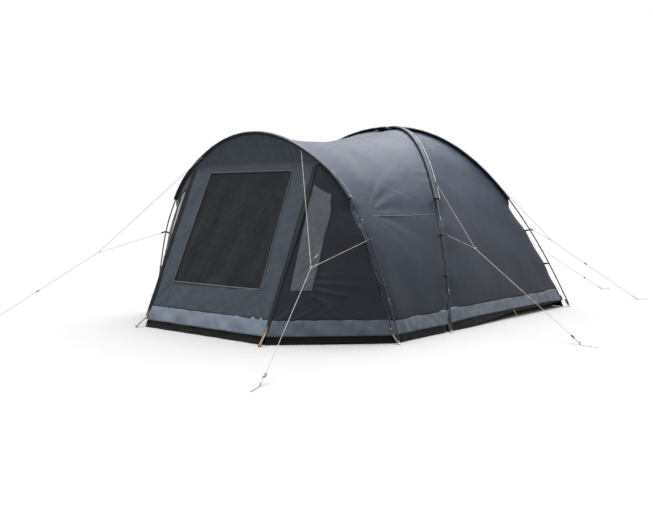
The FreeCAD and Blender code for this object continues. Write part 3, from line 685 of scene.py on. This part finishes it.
def build_guys():
    for side_name, side in SIDES:
        for leg, (line, height) in GUY_TOPS.items():
            name, ring = leg + "_" + side_name, RINGS[leg]
            upper = [mirror(v, side) for v in leg_anchor(line, height, 0.027, ring)]
            lower = [mirror(v, side) for v in leg_anchor(line, CLIP_HEIGHTS[1], 0.023, ring)]
            peg = PEGS.get(name) or PEGS[leg]
            forked_guy(name, upper, lower, mirror(ring, side), mirror(peg, side))
        wall_guy("wall_" + side_name, *(mirror(v, side) for v in (*wall_anchor(), WALL_PEG)))
    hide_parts("guy_tabs")


build_guys()


# The fly: one sheet over the porch, and three over the bedroom

LOW_SHARE = float(MIDDLE_LEG.share_at(HEM_TOP + 0.004))


def even(count, crowd=0.4):
    """Shares from 0 to 1, closer together near both ends."""
    t = shares(count)
    return t * (1 - crowd) + crowd * (0.5 - 0.5 * np.cos(np.pi * t))


def panel_folds(grid, seed):
    """Soft waves over a panel, and gathers along the seams at its two upright sides."""
    across, up = lengths(grid)
    from_edge = across[:, -1:] - np.abs(across)
    body = ease(from_edge / 0.12)
    out = body * (0.005 * ripple(across, up, 0.6, seed)
                  + 0.0005 * ripple(across, up, 0.17, seed + 1))
    out = out + puckers(up, from_edge, 0.055, 0.0014, 0.035, seed + 2)
    return out + puckers(up, from_edge, 0.12, 0.0021, 0.09, seed + 3)


def seam_strip(name, surface, share, side):
    """A taped seam across a panel, at one share of its height."""
    v = np.linspace(0.01, 0.99, 60)
    grid = np.stack([surface(np.full(60, share + up), v, side) for up in (-0.0016, 0, 0.0016)])
    cloth(name, pushed(grid, np.full(grid.shape[:2], 0.0022)), SEAM, thick=0.0005)


def fly_panel(name, grid, nodes, *rests_on):
    declare_sheet(cloth("fly_" + name, grid, FLY, nodes), grid, "stretched", *rests_on)


def build_porch():
    share, v = mesh_grid(LOW_SHARE + (1 - LOW_SHARE) * shares(130), even(84))
    right = porch_surface(share, v)
    left = porch_surface(share, v, LEFT)
    grid = np.concatenate([right, left[:-1][::-1]])
    across, up = lengths(grid)
    out = panel_folds(grid, 11)
    total = up[-1].mean()
    for low in (up, total - up):
        out = out + fan(across, low, (across[0, 0], 0.95), 0.3, 16, 0.003, 21, -0.9, 0.9)
        out = out + fan(across, low, (across[0, -1], 1.15), 0.3, 16, 0.003, 22, 2.3, 4.0)
    grid = pushed(grid, out)
    fly_panel("porch", grid, ("porch_roof", "porch_wall_right", "porch_wall_left"),
              "front_hoop_pole", "dome_pole_a", "dome_pole_b")
    for name, side in SIDES:
        seam_strip("seam_porch_" + name, porch_surface, 0.43, side)


def build_dome():
    rows = LOW_SHARE + (0.965 - LOW_SHARE) * shares(120)
    share, v = mesh_grid(rows, even(84))
    for name, side in SIDES:
        grid = side_surface(share, v, side)
        grid = pushed(grid, panel_folds(grid, 31 if side == RIGHT else 41))
        fly_panel("side_" + name, grid, ("dome_side_" + name,), "dome_pole_a", "dome_pole_b")
    share, v = mesh_grid(rows, even(110))
    grid = rear_surface(share, v)
    grid = pushed(grid, panel_folds(grid, 51))
    fly_panel("rear", grid, ("dome_rear",), "dome_pole_a", "dome_pole_b")
    seam_strip("seam_rear", rear_surface, 0.5, RIGHT)
    reach = np.linspace(-0.12, 0.12, 25)
    x, y = mesh_grid(reach, reach)
    z = CROWN_Z - 0.021 - 0.3 * (x * x + y * y)
    grid = points_of(x, CROWN_Y + y, z + 0.0006 * ripple(x, y, 0.07, 61))
    patch = cloth("crown_patch_cloth", grid, SLEEVE, ("crown_patch",))
    declare_sheet(patch, grid, "stretched", "dome_pole_b")


build_porch()
build_dome()


# The front: gable and door in one cloth, with the mesh window, and the side panels

WINDOW_LOW, WINDOW_TOP = 0.43, 1.447
WINDOW_HALF_LOW, WINDOW_HALF_TOP = 0.57, 0.534
WINDOW_SHARE = 0.72
DOOR_HALF = 0.768


def segments(stops, counts):
    """Values that run through the stops, with a count of steps between each two."""
    parts = [np.linspace(a, b, n, endpoint=False) for a, b, n in zip(stops, stops[1:], counts)]
    return np.concatenate(parts + [[stops[-1]]])


def window_half(z):
    return np.interp(z, (WINDOW_LOW, WINDOW_TOP), (WINDOW_HALF_LOW, WINDOW_HALF_TOP))


def front_x(a, z):
    """Across the front: a from -1 to 1, with the window's sides at WINDOW_SHARE."""
    inner = window_half(z)
    outer = DOOR_HALF + 0.067 * ease((z - 1.455) / 0.06)
    beyond = (np.abs(a) - WINDOW_SHARE) / (1 - WINDOW_SHARE)
    x = np.where(beyond <= 0, np.abs(a) / WINDOW_SHARE * inner, inner + beyond * (outer - inner))
    return np.sign(a) * x


def gable_top(x):
    """The height of the cloth's edge under the hoop, at a distance from the middle."""
    edge = edge_of(HOOP, np.linspace(1, 0.5, 120))
    return np.maximum(np.interp(np.abs(x), edge[:, 0], edge[:, 2]), DOOR_TOP_Z + 0.002)


def front_place(x, z):
    p = door_point(x, z)
    bend = ease((z - 1.49) / 0.06)
    p[..., 1] = p[..., 1] * (1 - bend) + (-HOOP_LEAN * z - 0.006) * bend
    return p


def frame_band(name, inner, outer, place, material, body="tent"):
    """A flat border between two outlines with four corners each, laid on a surface."""
    rings = []
    for share in (0.0, 0.5, 1.0):
        corners = np.array(inner) * (1 - share) + np.array(outer) * share
        steps = (corners[[1, 2, 3, 0]] - corners)[:, None] * np.arange(24)[:, None] / 24
        rings.append(place((corners[:, None] + steps).reshape(-1, 2)))
    faces = [list(f) for f in grid_faces(3, 96, closed=True)]
    piece = add_mesh(name, np.stack(rings), faces, material, (), body)
    add_edge(piece, 0.0016, 0)
    return piece


def build_front():
    z_rows = segments((HEM_TOP + 0.004, WINDOW_LOW, WINDOW_TOP, DOOR_TOP_Z), (18, 60, 6))
    a_columns = segments((-1, -WINDOW_SHARE, WINDOW_SHARE, 1), (14, 64, 14))
    z, a = mesh_grid(z_rows, a_columns)
    x = front_x(a, z)
    lower = front_place(x, z)
    f, a_top = mesh_grid(shares(18)[1:], a_columns)
    x_top = front_x(a_top, np.full_like(a_top, DOOR_TOP_Z))
    z_top = DOOR_TOP_Z + f * (gable_top(x_top) - DOOR_TOP_Z)
    grid = np.concatenate([lower, front_place(x_top, z_top)])
    all_x, all_z = grid[..., 0], grid[..., 2]
    near_top = gable_top(all_x) - all_z
    out = 0.0022 * ripple(all_x, all_z, 0.45, 71) + 0.0009 * ripple(all_x, all_z, 0.14, 72)
    out = out + puckers(all_x, near_top, 0.06, 0.0022, 0.03, 73)
    for x0 in (-0.5, -0.2, 0.33, 0.62):
        z0 = gable_top(x0) - 0.045
        out = out - 0.007 * np.exp(-((all_x - x0) ** 2 + (all_z - z0) ** 2) / 0.013 ** 2)
    for side in (-1, 1):
        for x0, z0, reach, count, size, seed, start, end in (
            (WINDOW_HALF_LOW, WINDOW_LOW, 0.12, 14, 0.003, 74, -2.6, -0.5),
            (WINDOW_HALF_TOP, WINDOW_TOP, 0.1, 12, 0.0025, 75, 0.4, 2.7),
            (DOOR_HALF, 0.1, 0.16, 14, 0.003, 76, 0.3, 2.8),
        ):
            out = out + fan(all_x, all_z, (side * x0, z0), reach, count, size, seed, start, end)
    hole, held = hole_in(grid, (18, 78), (14, 78))
    grid = pushed(grid, out * held)
    # The gable and door take the fly cloth lightened as painted light.
    front = cloth("front_cloth", grid, LIT_FRONT_CLOTH, ("front_gable", "door_panel"), hole, body=None)
    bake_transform(front)
    declare_sheet(front, grid, "stretched", "front_hoop_pole")
    build_door_window()


def build_door_window():
    lap = 0.004
    z, a = mesh_grid(np.linspace(WINDOW_LOW - lap, WINDOW_TOP + lap, 60), np.linspace(-1, 1, 64))
    x = a * (window_half(z) + lap)
    sag = 0.004 * ripple(x, z, 0.4, 81) + 0.0015 * ripple(x, z, 0.11, 82)
    inset = (ease((1 - np.abs(a)) / 0.1) * ease((z - WINDOW_LOW) / 0.08)
             * ease((WINDOW_TOP - z) / 0.08))
    grid = door_point(x, z, -0.003 + sag * inset)
    mesh = cloth("door_window_mesh", grid, MESH, ("door_mesh",), None, 0.0006, "front_door")
    declare_sheet(mesh, grid, "stretched", "front_cloth")
    corners = np.array([(-WINDOW_HALF_LOW, WINDOW_LOW), (WINDOW_HALF_LOW, WINDOW_LOW),
                        (WINDOW_HALF_TOP, WINDOW_TOP), (-WINDOW_HALF_TOP, WINDOW_TOP)])
    grow = np.array([(-1, -1), (1, -1), (1, 1), (-1, 1)])
    border = frame_band("door_window_border", corners - grow * lap, corners + grow * 0.009,
                        lambda q: door_point(q[:, 0], q[:, 1], 0.0016), TRIM, "front_door")


# The side window's corners, as distance from the middle and height: near the zip, then far
WINDOW_NEAR = ((0.858, 0.437), (0.814, 1.335))
WINDOW_FAR = ((0.992, 0.437), (0.990, 1.235))


def panel_share(x, z):
    """How far across the side panel a distance from the middle is, at a height."""
    end = front_side_surface(z, np.ones_like(z))[..., 0]
    return (x - PANEL_X) / (end - PANEL_X)


def window_edge(corners, rise):
    """An upright edge of the side window: shares across the panel, and heights."""
    (low_x, low_z), (top_x, top_z) = corners
    z = low_z + (top_z - low_z) * rise
    return panel_share(low_x + (top_x - low_x) * rise, z), z


def panel_rows(corners, top_share):
    """One of the window's upright edges, carried on down to the hem and up to the top."""
    (low_x, low_z), _ = corners
    z_below = np.linspace(HEM_TOP + 0.004, low_z, 24, endpoint=False)
    v_in, z_in = window_edge(corners, np.linspace(0, 1, 64, endpoint=False))
    v_top, z_top = window_edge(corners, np.array(1.0))
    rest = shares(15)
    v = np.concatenate([panel_share(low_x, z_below), v_in, v_top + (top_share - v_top) * rest])
    return v, np.concatenate([z_below, z_in, z_top + (1.5 - z_top) * rest])


def build_front_side(name, side):
    near_v, near_z = panel_rows(WINDOW_NEAR, 0.35)
    far_v, far_z = panel_rows(WINDOW_FAR, 0.7)
    v = np.stack([segments((0, n, f, 1), (8, 20, 48)) for n, f in zip(near_v, far_v)])
    z = np.stack([segments((n, n, f, f), (8, 20, 48)) for n, f in zip(near_z, far_z)])
    grid = front_side_surface(z, v, side)
    x = np.abs(grid[..., 0])
    out = 0.0018 * ripple(x, z, 0.3, 91) + 0.0005 * ripple(x, z, 0.1, 92)
    for z0, tilt, size, reach in ((0.50, -0.10, 0.008, 0.30), (0.455, -0.28, 0.007, 0.34),
                                  (0.555, 0.06, 0.005, 0.22), (0.40, -0.55, 0.005, 0.26)):
        away = x - WINDOW_FAR[0][0]
        fade = ease((away + 0.02) / 0.05) * np.exp(-(away / reach) ** 2)
        out = out + size * np.exp(-((z - (z0 + tilt * away)) / 0.014) ** 2) * fade
    for x0, tilt, size in ((0.84, 0.9, 0.006), (0.93, 1.3, 0.005), (1.06, 0.8, 0.004),
                           (1.22, -1.0, 0.004)):
        off = (x - x0) - tilt * (z - 0.2)
        out = out + size * np.exp(-(off / 0.02) ** 2) * np.exp(-((z - 0.2) / 0.14) ** 2)
    across, up = lengths(grid)
    out = out + puckers(up, across[:, -1:] - across, 0.06, 0.0016, 0.05, 97)
    hole, held = hole_in(grid, (24, 88), (8, 28))
    grid = pushed(grid, out * ease(v / 0.04) * held)
    panel = cloth("front_side_cloth_" + name, grid, FLY_DARK, ("front_side_" + name,), hole)
    declare_sheet(panel, grid, "stretched", "front_hoop_pole")
    build_side_window(name, side)


def window_place(rise, across, side, out=0.0):
    """A point of the side window, by shares of its height and of its width."""
    near_v, near_z = window_edge(WINDOW_NEAR, rise)
    far_v, far_z = window_edge(WINDOW_FAR, rise)
    z, v = near_z + (far_z - near_z) * across, near_v + (far_v - near_v) * across
    return front_side_surface(z, v, side) + DOOR_OUT * out


def build_side_window(name, side):
    rows, columns = mesh_grid(np.linspace(-0.006, 1.006, 90), np.linspace(-0.03, 1.03, 50))
    grid = window_place(rows, columns, side)
    x, z = np.abs(grid[..., 0]), grid[..., 2]
    out = 0.004 * ripple(x, z, 0.22, 101) + 0.0018 * ripple(x, z, 0.09, 102, 2.4)
    out = out + 0.009 * np.maximum(ripple(x, z, 0.04, 103, 2.5), 0) * ease((0.86 - z) / 0.25)
    inset = ease(np.minimum(columns, 1 - columns) / 0.12) * ease(np.minimum(rows, 1 - rows) / 0.04)
    grid = pushed(grid, -0.002 + out * inset)
    film = cloth("side_window_film_" + name, grid, FILM, ("side_window_" + name,), thick=0.0006)
    declare_sheet(film, grid, "stretched", "front_side_cloth_" + name)
    inner = ((0, 0), (0, 1), (1, 1), (1, 0))
    outer = ((-0.008, -0.06), (-0.008, 1.06), (1.008, 1.05), (1.008, -0.05))
    frame_band("side_window_border_" + name, inner, outer,
               lambda q: window_place(q[:, 0], q[:, 1], side, 0.002), FLY_DARK)


def build_zips():
    """Each zip: tape, coil, and the fold of cloth that shelters it."""
    count, low, top = 140, 0.1, 1.49
    z = np.linspace(low, top, count)
    for name, side in SIDES:
        edges = [mirror(door_point(np.full(count, x), z, np.full(count, 0.002)), side)
                 for x in (0.765, 0.799)]
        strip("zip_tape_" + name, *edges, ZIP, ("door_zip_tracks",) * (side == RIGHT))
        line = mirror(door_point(np.full(count, 0.782), z, np.full(count, 0.0045)), side)
        tube("zip_coil_" + name, line, 0.0028, ZIP, sides=8)
        rows, turn = mesh_grid(z, shares(12))
        wide = 0.014 + 0.020 * ease((rows - 0.4) / 0.6) * ease((top - rows) / 0.3)
        bulge = 0.008 * np.sin(np.pi * turn) * (1 + 0.15 * ripple(rows, 0 * rows, 0.12, 111))
        grid = mirror(door_point(0.794 + wide * turn, rows, 0.001 + bulge), side)
        cloth("zip_fold_" + name, grid, FLY_DARK)


build_front()
for side_name, side_sign in SIDES:
    build_front_side(side_name, side_sign)
build_zips()


# Hem bands and mud flaps

def low_band(name, place, low, high, material, nodes, seed, out=0.0015, folds=0.006, arch=0.0,
             taper=0.0, body="tent"):
    """A band of cloth along the foot of a panel. place gives a point from height and share."""
    rows, v = mesh_grid(shares(12), even(90, 0.6))
    bottom = low + arch * (1 - np.abs(2 * v - 1) ** 6) + taper * ease(v / 0.6)
    grid = place(bottom + (high - bottom) * rows, v)
    across, up = lengths(grid)
    waves = folds * ripple(across, up, 0.14, seed) * (1 - rows) ** 0.6
    corner = (across[:, -1].min(), 0.0)
    for sign in (-1, 1):
        waves = waves + fan(across * sign, up, corner, 0.11, 11, folds * 2.2, seed + 1, 0.0, 1.4)
    tucked = ease((rows - 0.82) / 0.18)
    grid = pushed(grid, (out + waves) * (1 - tucked) - 0.004 * tucked)
    grid[..., 2] = np.maximum(grid[..., 2], 0.0035)
    piece = cloth(name, grid, material, nodes, body=body)
    declare_sheet(piece, grid, "hung" if material is FLAP else "stretched", "foot_rings")


def by_height(surface, side):
    return lambda z, v: surface(MIDDLE_LEG.share_at(z), v, side)


def build_bands():
    hem, flap = (HEM_LOW, HEM_TOP + 0.014), (0.004, HEM_LOW + 0.02)
    places = {"rear": (lambda z, v: rear_surface(MIDDLE_LEG.share_at(z), v), 0.012)}
    for name, side in SIDES:
        places["front_" + name] = (
            lambda z, v, side=side: front_side_surface(z, v, side), 0.0)
        places["porch_" + name] = (by_height(porch_surface, side), 0.008)
        places["side_" + name] = (by_height(side_surface, side), 0.024)
    for count, (name, (place, arch)) in enumerate(places.items()):
        first = name == "rear"
        # Every hem but the door's takes the hem cloth darkened as painted shade.
        low_band("hem_" + name, place, *hem, SHADED_HEM, ("hem_bands",) * first, 200 + 5 * count,
                 arch=arch)
        low_band("flap_" + name, place, *flap, FLAP, ("mud_flaps",) * first, 300 + 5 * count,
                 -0.018, 0.003, taper=0.066 * name.startswith("side"))
    low_band("hem_door", lambda z, v: door_point(DOOR_HALF * (2 * v - 1), z), *hem, HEM,
             ("door_hem_band",), 401, body="front_door")
    low_band("flap_door", lambda z, v: door_point(0.766 * (2 * v - 1), z), *flap, FLAP,
             ("door_mud_flap",), 411, -0.016, 0.003, body="front_door")


build_bands()


# Sleeves, piping and tapes along the poles

def sleeve_run(line, side, first, last):
    """Points of a leg's line between two shares, and the way to the cloth at each."""
    share = np.linspace(first, last, int(line.length * abs(last - first) / 0.008))
    p = line.at(share)
    return mirror(p, side), mirror(unit(heart_of(line, p) - p), side)


def sleeve(name, line, towards, seed, nodes=()):
    """A tube of cloth round a pole, drawn out to the seam on one side and gathered along it."""
    steps = np.linalg.norm(np.diff(line, axis=0), axis=1)
    run = np.concatenate([[0], np.cumsum(steps)])
    gathers = ripple(run, 0 * run, 0.045, seed, 0.0)
    waves = ripple(run, 0 * run, 0.15, seed + 1, 0.0)

    def shape(row, angle):
        seam = np.maximum(np.cos(angle), 0) ** 5
        brim = np.maximum(np.abs(np.sin(angle)) - 0.35 * np.cos(angle) ** 2, 0) ** 3
        loose = 0.0005 * gathers[row] * np.cos(2 * angle + waves[row]) + 0.0007 * waves[row]
        return 0.0132 + 0.010 * seam + 0.015 * brim + loose

    tube(name, line, 0, SLEEVE, nodes, 18, shape, towards)
    tube("cuff_low_" + name, line[:4], 0.0152, TRIM, sides=16)
    tube("cuff_high_" + name, line[-4:], 0.0152, TRIM, sides=16)


def piping(name, line, towards):
    """A thin piped edge along a sleeve's seam, on its rear side."""
    across = unit(np.cross(unit(np.gradient(line, axis=0)), towards))
    across = across * np.sign(across[:, 1:2])
    tube(name, line + towards * 0.001 + across * 0.0315, 0.0040, PIPING, sides=8)


def build_sleeves():
    low = float(HOOP.share_at(SLEEVE_END))
    right, inward_right = sleeve_run(HOOP, RIGHT, low, 1)
    left, inward_left = sleeve_run(HOOP, LEFT, 1, low)
    line = np.concatenate([right, left[1:]])
    towards = np.concatenate([inward_right, inward_left[1:]])
    sleeve("sleeve_hoop", line, towards, 501, ("front_hoop_sleeve",))
    piping("piping_hoop", line, towards)
    for letter, pole_side in (("a", RIGHT), ("b", LEFT)):
        for part, leg, side in (("middle", MIDDLE_LEG, pole_side), ("rear", REAR_LEG, -pole_side)):
            line, towards = sleeve_run(leg, side, float(leg.share_at(SLEEVE_END)), 0.985)
            nodes = ("dome_sleeve_" + letter,) if part == "middle" else ()
            name = "_" + letter + "_" + part
            sleeve("sleeve" + name, line, towards, 510 + side, nodes)
            piping("piping" + name, line, towards)


def edge_tape(name, surface, leg, v0, side, width, material):
    """Tape along the upright edge of a panel, which is at the share v0 of its width."""
    share = leg.share_at(np.linspace(0.1, 1.24, 90))
    edge, middle = (surface(share, np.full(90, v), side) for v in (v0, 0.5))
    outer, inner = (edge + unit(middle - edge) * reach for reach in (0.0, width))
    outer, inner = (p + unit(p - MIDDLE) * 0.003 for p in (outer, inner))
    strip("tape_" + name, outer, inner, material, thick=0.0012)


def build_tapes():
    for name, side in SIDES:
        edge_tape("hoop_" + name, porch_surface, HOOP, 0.0, side, 0.046, TAPE)
        edge_tape("middle_" + name, side_surface, MIDDLE_LEG, 0.0, side, 0.02, SLEEVE)
        edge_tape("rear_" + name, side_surface, MIDDLE_LEG, 1.0, side, 0.02, SLEEVE)


build_sleeves()
build_tapes()


# Clips, feet, straps, buckles and ferrules

STRAP = 0.022


def build_clip(name, line, height, side):
    """A plastic hook round the pole, on a webbing tongue from the cloth's edge."""
    share = line.share_at(height)
    at, axis, edge = (mirror(v, side) for v in (line.at(share), line.heading(share),
                                                edge_of(line, np.asarray(share))))
    inward = unit(edge - at)
    first = unit(inward - axis * (inward @ axis))
    turn = np.linspace(0.0, 5.1, 28)[:, None]
    hook = at + (first * np.cos(turn) + np.cross(axis, first) * np.sin(turn)) * 0.0098
    nodes = ("pole_clips",) * (name == "hoop_right_0")
    tube("clip_hook_" + name, hook, 0.0029, PLASTIC, nodes, 8)
    facing = np.cross(axis, inward)
    body = [at + inward * reach for reach in (0.0095, 0.014, 0.026)]
    webbing("clip_body_" + name, body, facing, 0.015, PLASTIC, thick=0.0055)
    tongue = [at + inward * 0.024, edge + inward * 0.012]
    webbing("clip_tongue_" + name, tongue, facing, 0.018, TAB)


def build_foot(name, line, side):
    """The strap from a foot's ring up to the hem, with a buckle on it."""
    foot = mirror(line.at(0.0), side)
    edge = [mirror(edge_of(line, line.share_at(np.asarray(z))), side) for z in (0.04, 0.075, 0.13)]
    out = unit((foot - edge[0]) * np.array([1, 1, 0]))
    ring = foot - out * 0.0155 + UP * 0.0125
    hem, top = edge[1] + out * 0.006, edge[2] + out * 0.004
    path = [ring + UP * 0.002, ring + (hem - ring) * 0.5 + out * 0.002, hem, top]
    first = name == "hoop_right"
    material = TAB if line is MIDDLE_LEG else WEBBING
    strap = webbing("strap_" + name, path, out, STRAP, material, ("foot_straps",) * first)
    at = hem + (top - hem) * 0.2 + out * 0.004
    way, across = unit(top - hem), unit(np.cross(top - hem, out))
    outline = [(-1, 0), (1, 0), (1, 0.015), (-1, 0.015), (-1, 0.032), (1, 0.032), (1, 0.015)]
    bars = Line([at + across * 0.017 * x + way * z for x, z in outline])
    tube("buckle_" + name, bars.at(shares(90)), 0.0024, PLASTIC, ("strap_buckles",) * first, 8)
    for k, z in enumerate((0.32, 0.98)):
        share = line.share_at(z)
        run = mirror(line.at(np.linspace(share, share + 0.055 / line.length, 6)), side)
        tube("ferrule_%s_%d" % (name, k), run, 0.0076, FERRULE, sides=16)


def peg_loop(name, path, side, facing, width=STRAP):
    webbing(name, [mirror(p, side) for p in path], facing, width, WEBBING)


def build_corner_straps(name, side):
    """The peg loops at the front panel's foot, the rear corner and the middle of the side."""
    tip, root = np.array([0.812, FRONT_Y - 0.068, 0.006]), door_point(0.782, 0.09, 0.006)
    path = (tip, tip + (root - tip) * 0.5 + UP * 0.004, root, door_point(0.782, 0.15, 0.005))
    peg_loop("corner_strap_" + name, path, side, (0, -1, 1))
    bar = [mirror(tip + np.array([x, 0.004, 0.004]), side) for x in np.linspace(-0.019, 0.019, 8)]
    tube("corner_toggle_" + name, bar, 0.0042, PLASTIC)
    tip = np.array([HALF_WIDTH - 0.045, REAR_Y + 0.066, 0.006])
    root = np.array([HALF_WIDTH - 0.06, REAR_Y + 0.01, 0.075])
    peg_loop("rear_strap_" + name, (tip, tip + (root - tip) * 0.5, root), side, (0, 1, 1))
    hem = side_surface(MIDDLE_LEG.share_at(0.088), np.array(0.5)) + np.array([0.004, 0, 0])
    ground = np.array([hem[0] + 0.058, hem[1], 0.006])
    peg_loop("side_loop_" + name, (ground, hem, hem + UP * 0.03), side, (1, 0, 1), 0.008)


def build_hardware():
    legs = (("hoop", HOOP), ("middle", MIDDLE_LEG), ("rear", REAR_LEG))
    for side_name, side in SIDES:
        for leg_name, line in legs:
            for k, height in enumerate(CLIP_HEIGHTS):
                build_clip("%s_%s_%d" % (leg_name, side_name, k), line, height, side)
            build_foot(leg_name + "_" + side_name, line, side)
        build_corner_straps(side_name, side)


build_hardware()


# The inner tent

INNER_RINGS = np.array([(1.40, 0.95, 3.118, 0.098), (1.23, 1.19, 2.878, 0.64),
                        (0.925, 1.43, 2.638, 1.18), (0.42, 1.78, 2.288, 1.73)])
TRAY_HALF_X, TRAY_HALF_Y, TRAY_RISE = 1.438, 1.127, 0.089
INSET = 0.006


def ring_at(t):
    """Half width, front, rear and height of the inner tent; t from 0 at the tray to 3."""
    return [np.interp(t, range(4), INNER_RINGS[:, k]) for k in range(4)]


def inner_sheet(name, grid, nodes=(), hole=None, body="tent"):
    across, up = lengths(grid)
    out = 0.006 * ripple(across, up, 0.5, len(name)) + 0.002 * ripple(across, up, 0.15, 7)
    from_side = across[:, -1:] - np.abs(across)
    calm = ease(from_side / 0.12) if body == "inner_door" else 1
    grid = pushed(grid, out * calm * ease(np.minimum(up, up[-1:] - up) / 0.15))
    piece = cloth(name, grid, INNER, nodes, hole, body=body)
    declare_sheet(piece, grid, "hung", "fly_side_right", "fly_side_left")


def build_inner():
    t, v = mesh_grid(np.linspace(0, 3, 50), shares(40))
    half, front, rear, z = ring_at(t)
    for name, side in SIDES:
        y = front + INSET + (rear - front - 2 * INSET) * v
        inner_sheet("inner_side_" + name, points_of(side * half, y, z))
    inner_sheet("inner_rear", points_of(half * (2 * v - 1) * 0.996, rear, z))
    t, c = mesh_grid(np.linspace(0, 3, 49), segments((0, 1, 2, 3), (10, 20, 10)))
    half, front, rear, z = ring_at(t)
    opening = np.minimum(0.45, half * 0.6)
    beside = half - INSET - opening
    x = np.where(c < 1, beside * (c - 1) - opening,
                 np.where(c < 2, opening * (2 * c - 3), opening + beside * (c - 2)))
    hole, _ = hole_in(x, (0, 32), (10, 30))
    inner_sheet("inner_front", points_of(x, front, z), ("inner_tent_walls",), hole)
    t, v = mesh_grid(np.linspace(0.008, 1.992, 40), np.linspace(-1, 1, 24))
    half, front, rear, z = ring_at(t)
    opening = np.minimum(0.45, half * 0.6) - 0.0055
    inner_sheet("inner_door_cloth", points_of(opening * v, front, z), ("inner_door",),
                body="inner_door")
    half, front, rear, z = INNER_RINGS[-1]
    y, x = mesh_grid(np.linspace(front, rear, 20), np.linspace(-half, half, 24))
    inner_sheet("inner_roof", points_of(x, y, z + INSET))


def build_groundsheet():
    """The bedroom's tray: a loose floor with sides that stand up."""
    s, t = mesh_grid(np.linspace(-1, 1, 90), np.linspace(-1, 1, 110))
    x, y = t * (TRAY_HALF_X + TRAY_RISE), s * (TRAY_HALF_Y + TRAY_RISE)
    rise = np.maximum(np.maximum(np.abs(x) - TRAY_HALF_X, np.abs(y) - TRAY_HALF_Y), 0)
    z = 0.0025 + rise + 0.003 * (1 + ripple(x, y, 0.3, 601)) * (rise == 0)
    grid = points_of(np.clip(x, -TRAY_HALF_X, TRAY_HALF_X),
                     CROWN_Y + np.clip(y, -TRAY_HALF_Y, TRAY_HALF_Y), np.maximum(z, 0.002))
    piece = cloth("groundsheet_cloth", grid, TRAY_CLOTH, ("groundsheet",), thick=0)
    declare_sheet(piece, grid, "laid", "floor")


# The floor and the light

FLOOR_GREY = 0.249
SUN_STRENGTH, SUN_SPREAD, SUN_TILT = 10.0, 72, (-11, -7, 0)


def build_stage():
    data = bpy.data.meshes.new("floor")
    data.from_pydata([(-60, -60, 0), (60, -60, 0), (60, 60, 0), (-60, 60, 0)], [], [(0, 1, 2, 3)])
    floor = put_in_scene("floor", data)
    data.materials.append(finish("studio_floor", (FLOOR_GREY,) * 3, 0.95, 0.0, grain=0.005))
    world = bpy.data.worlds.new("studio")
    world.use_nodes = True
    background = world.node_tree.nodes["Background"]
    background.inputs["Color"].default_value = (1, 1, 1, 1)
    background.inputs["Strength"].default_value = 1.0
    bpy.context.scene.world = world
    lamp = bpy.data.lights.new("overhead", "SUN")
    lamp.energy = SUN_STRENGTH
    lamp.angle = math.radians(SUN_SPREAD)
    overhead = put_in_scene("overhead", lamp)
    overhead.rotation_euler = [math.radians(turn) for turn in SUN_TILT]
    bpy.context.scene.view_settings.view_transform = "Standard"


build_stage()
build_inner()
build_groundsheet()


# Finishes of the CAD pieces that show as they are

SHOWN = dict.fromkeys(("front_hoop_pole", "dome_pole_a", "dome_pole_b"), POLE)
SHOWN.update(dict.fromkeys(("foot_pins", "foot_rings", "guy_rings", "guy_pegs"), STEEL))
SHOWN.update(dict.fromkeys(("zip_slider_right", "zip_slider_left"), ZIP_METAL))
SHOWN.update(dict.fromkeys((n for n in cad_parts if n.startswith("runner_")), PLASTIC))
for node, material in SHOWN.items():
    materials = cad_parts[node].data.materials
    materials.clear()
    materials.append(material)
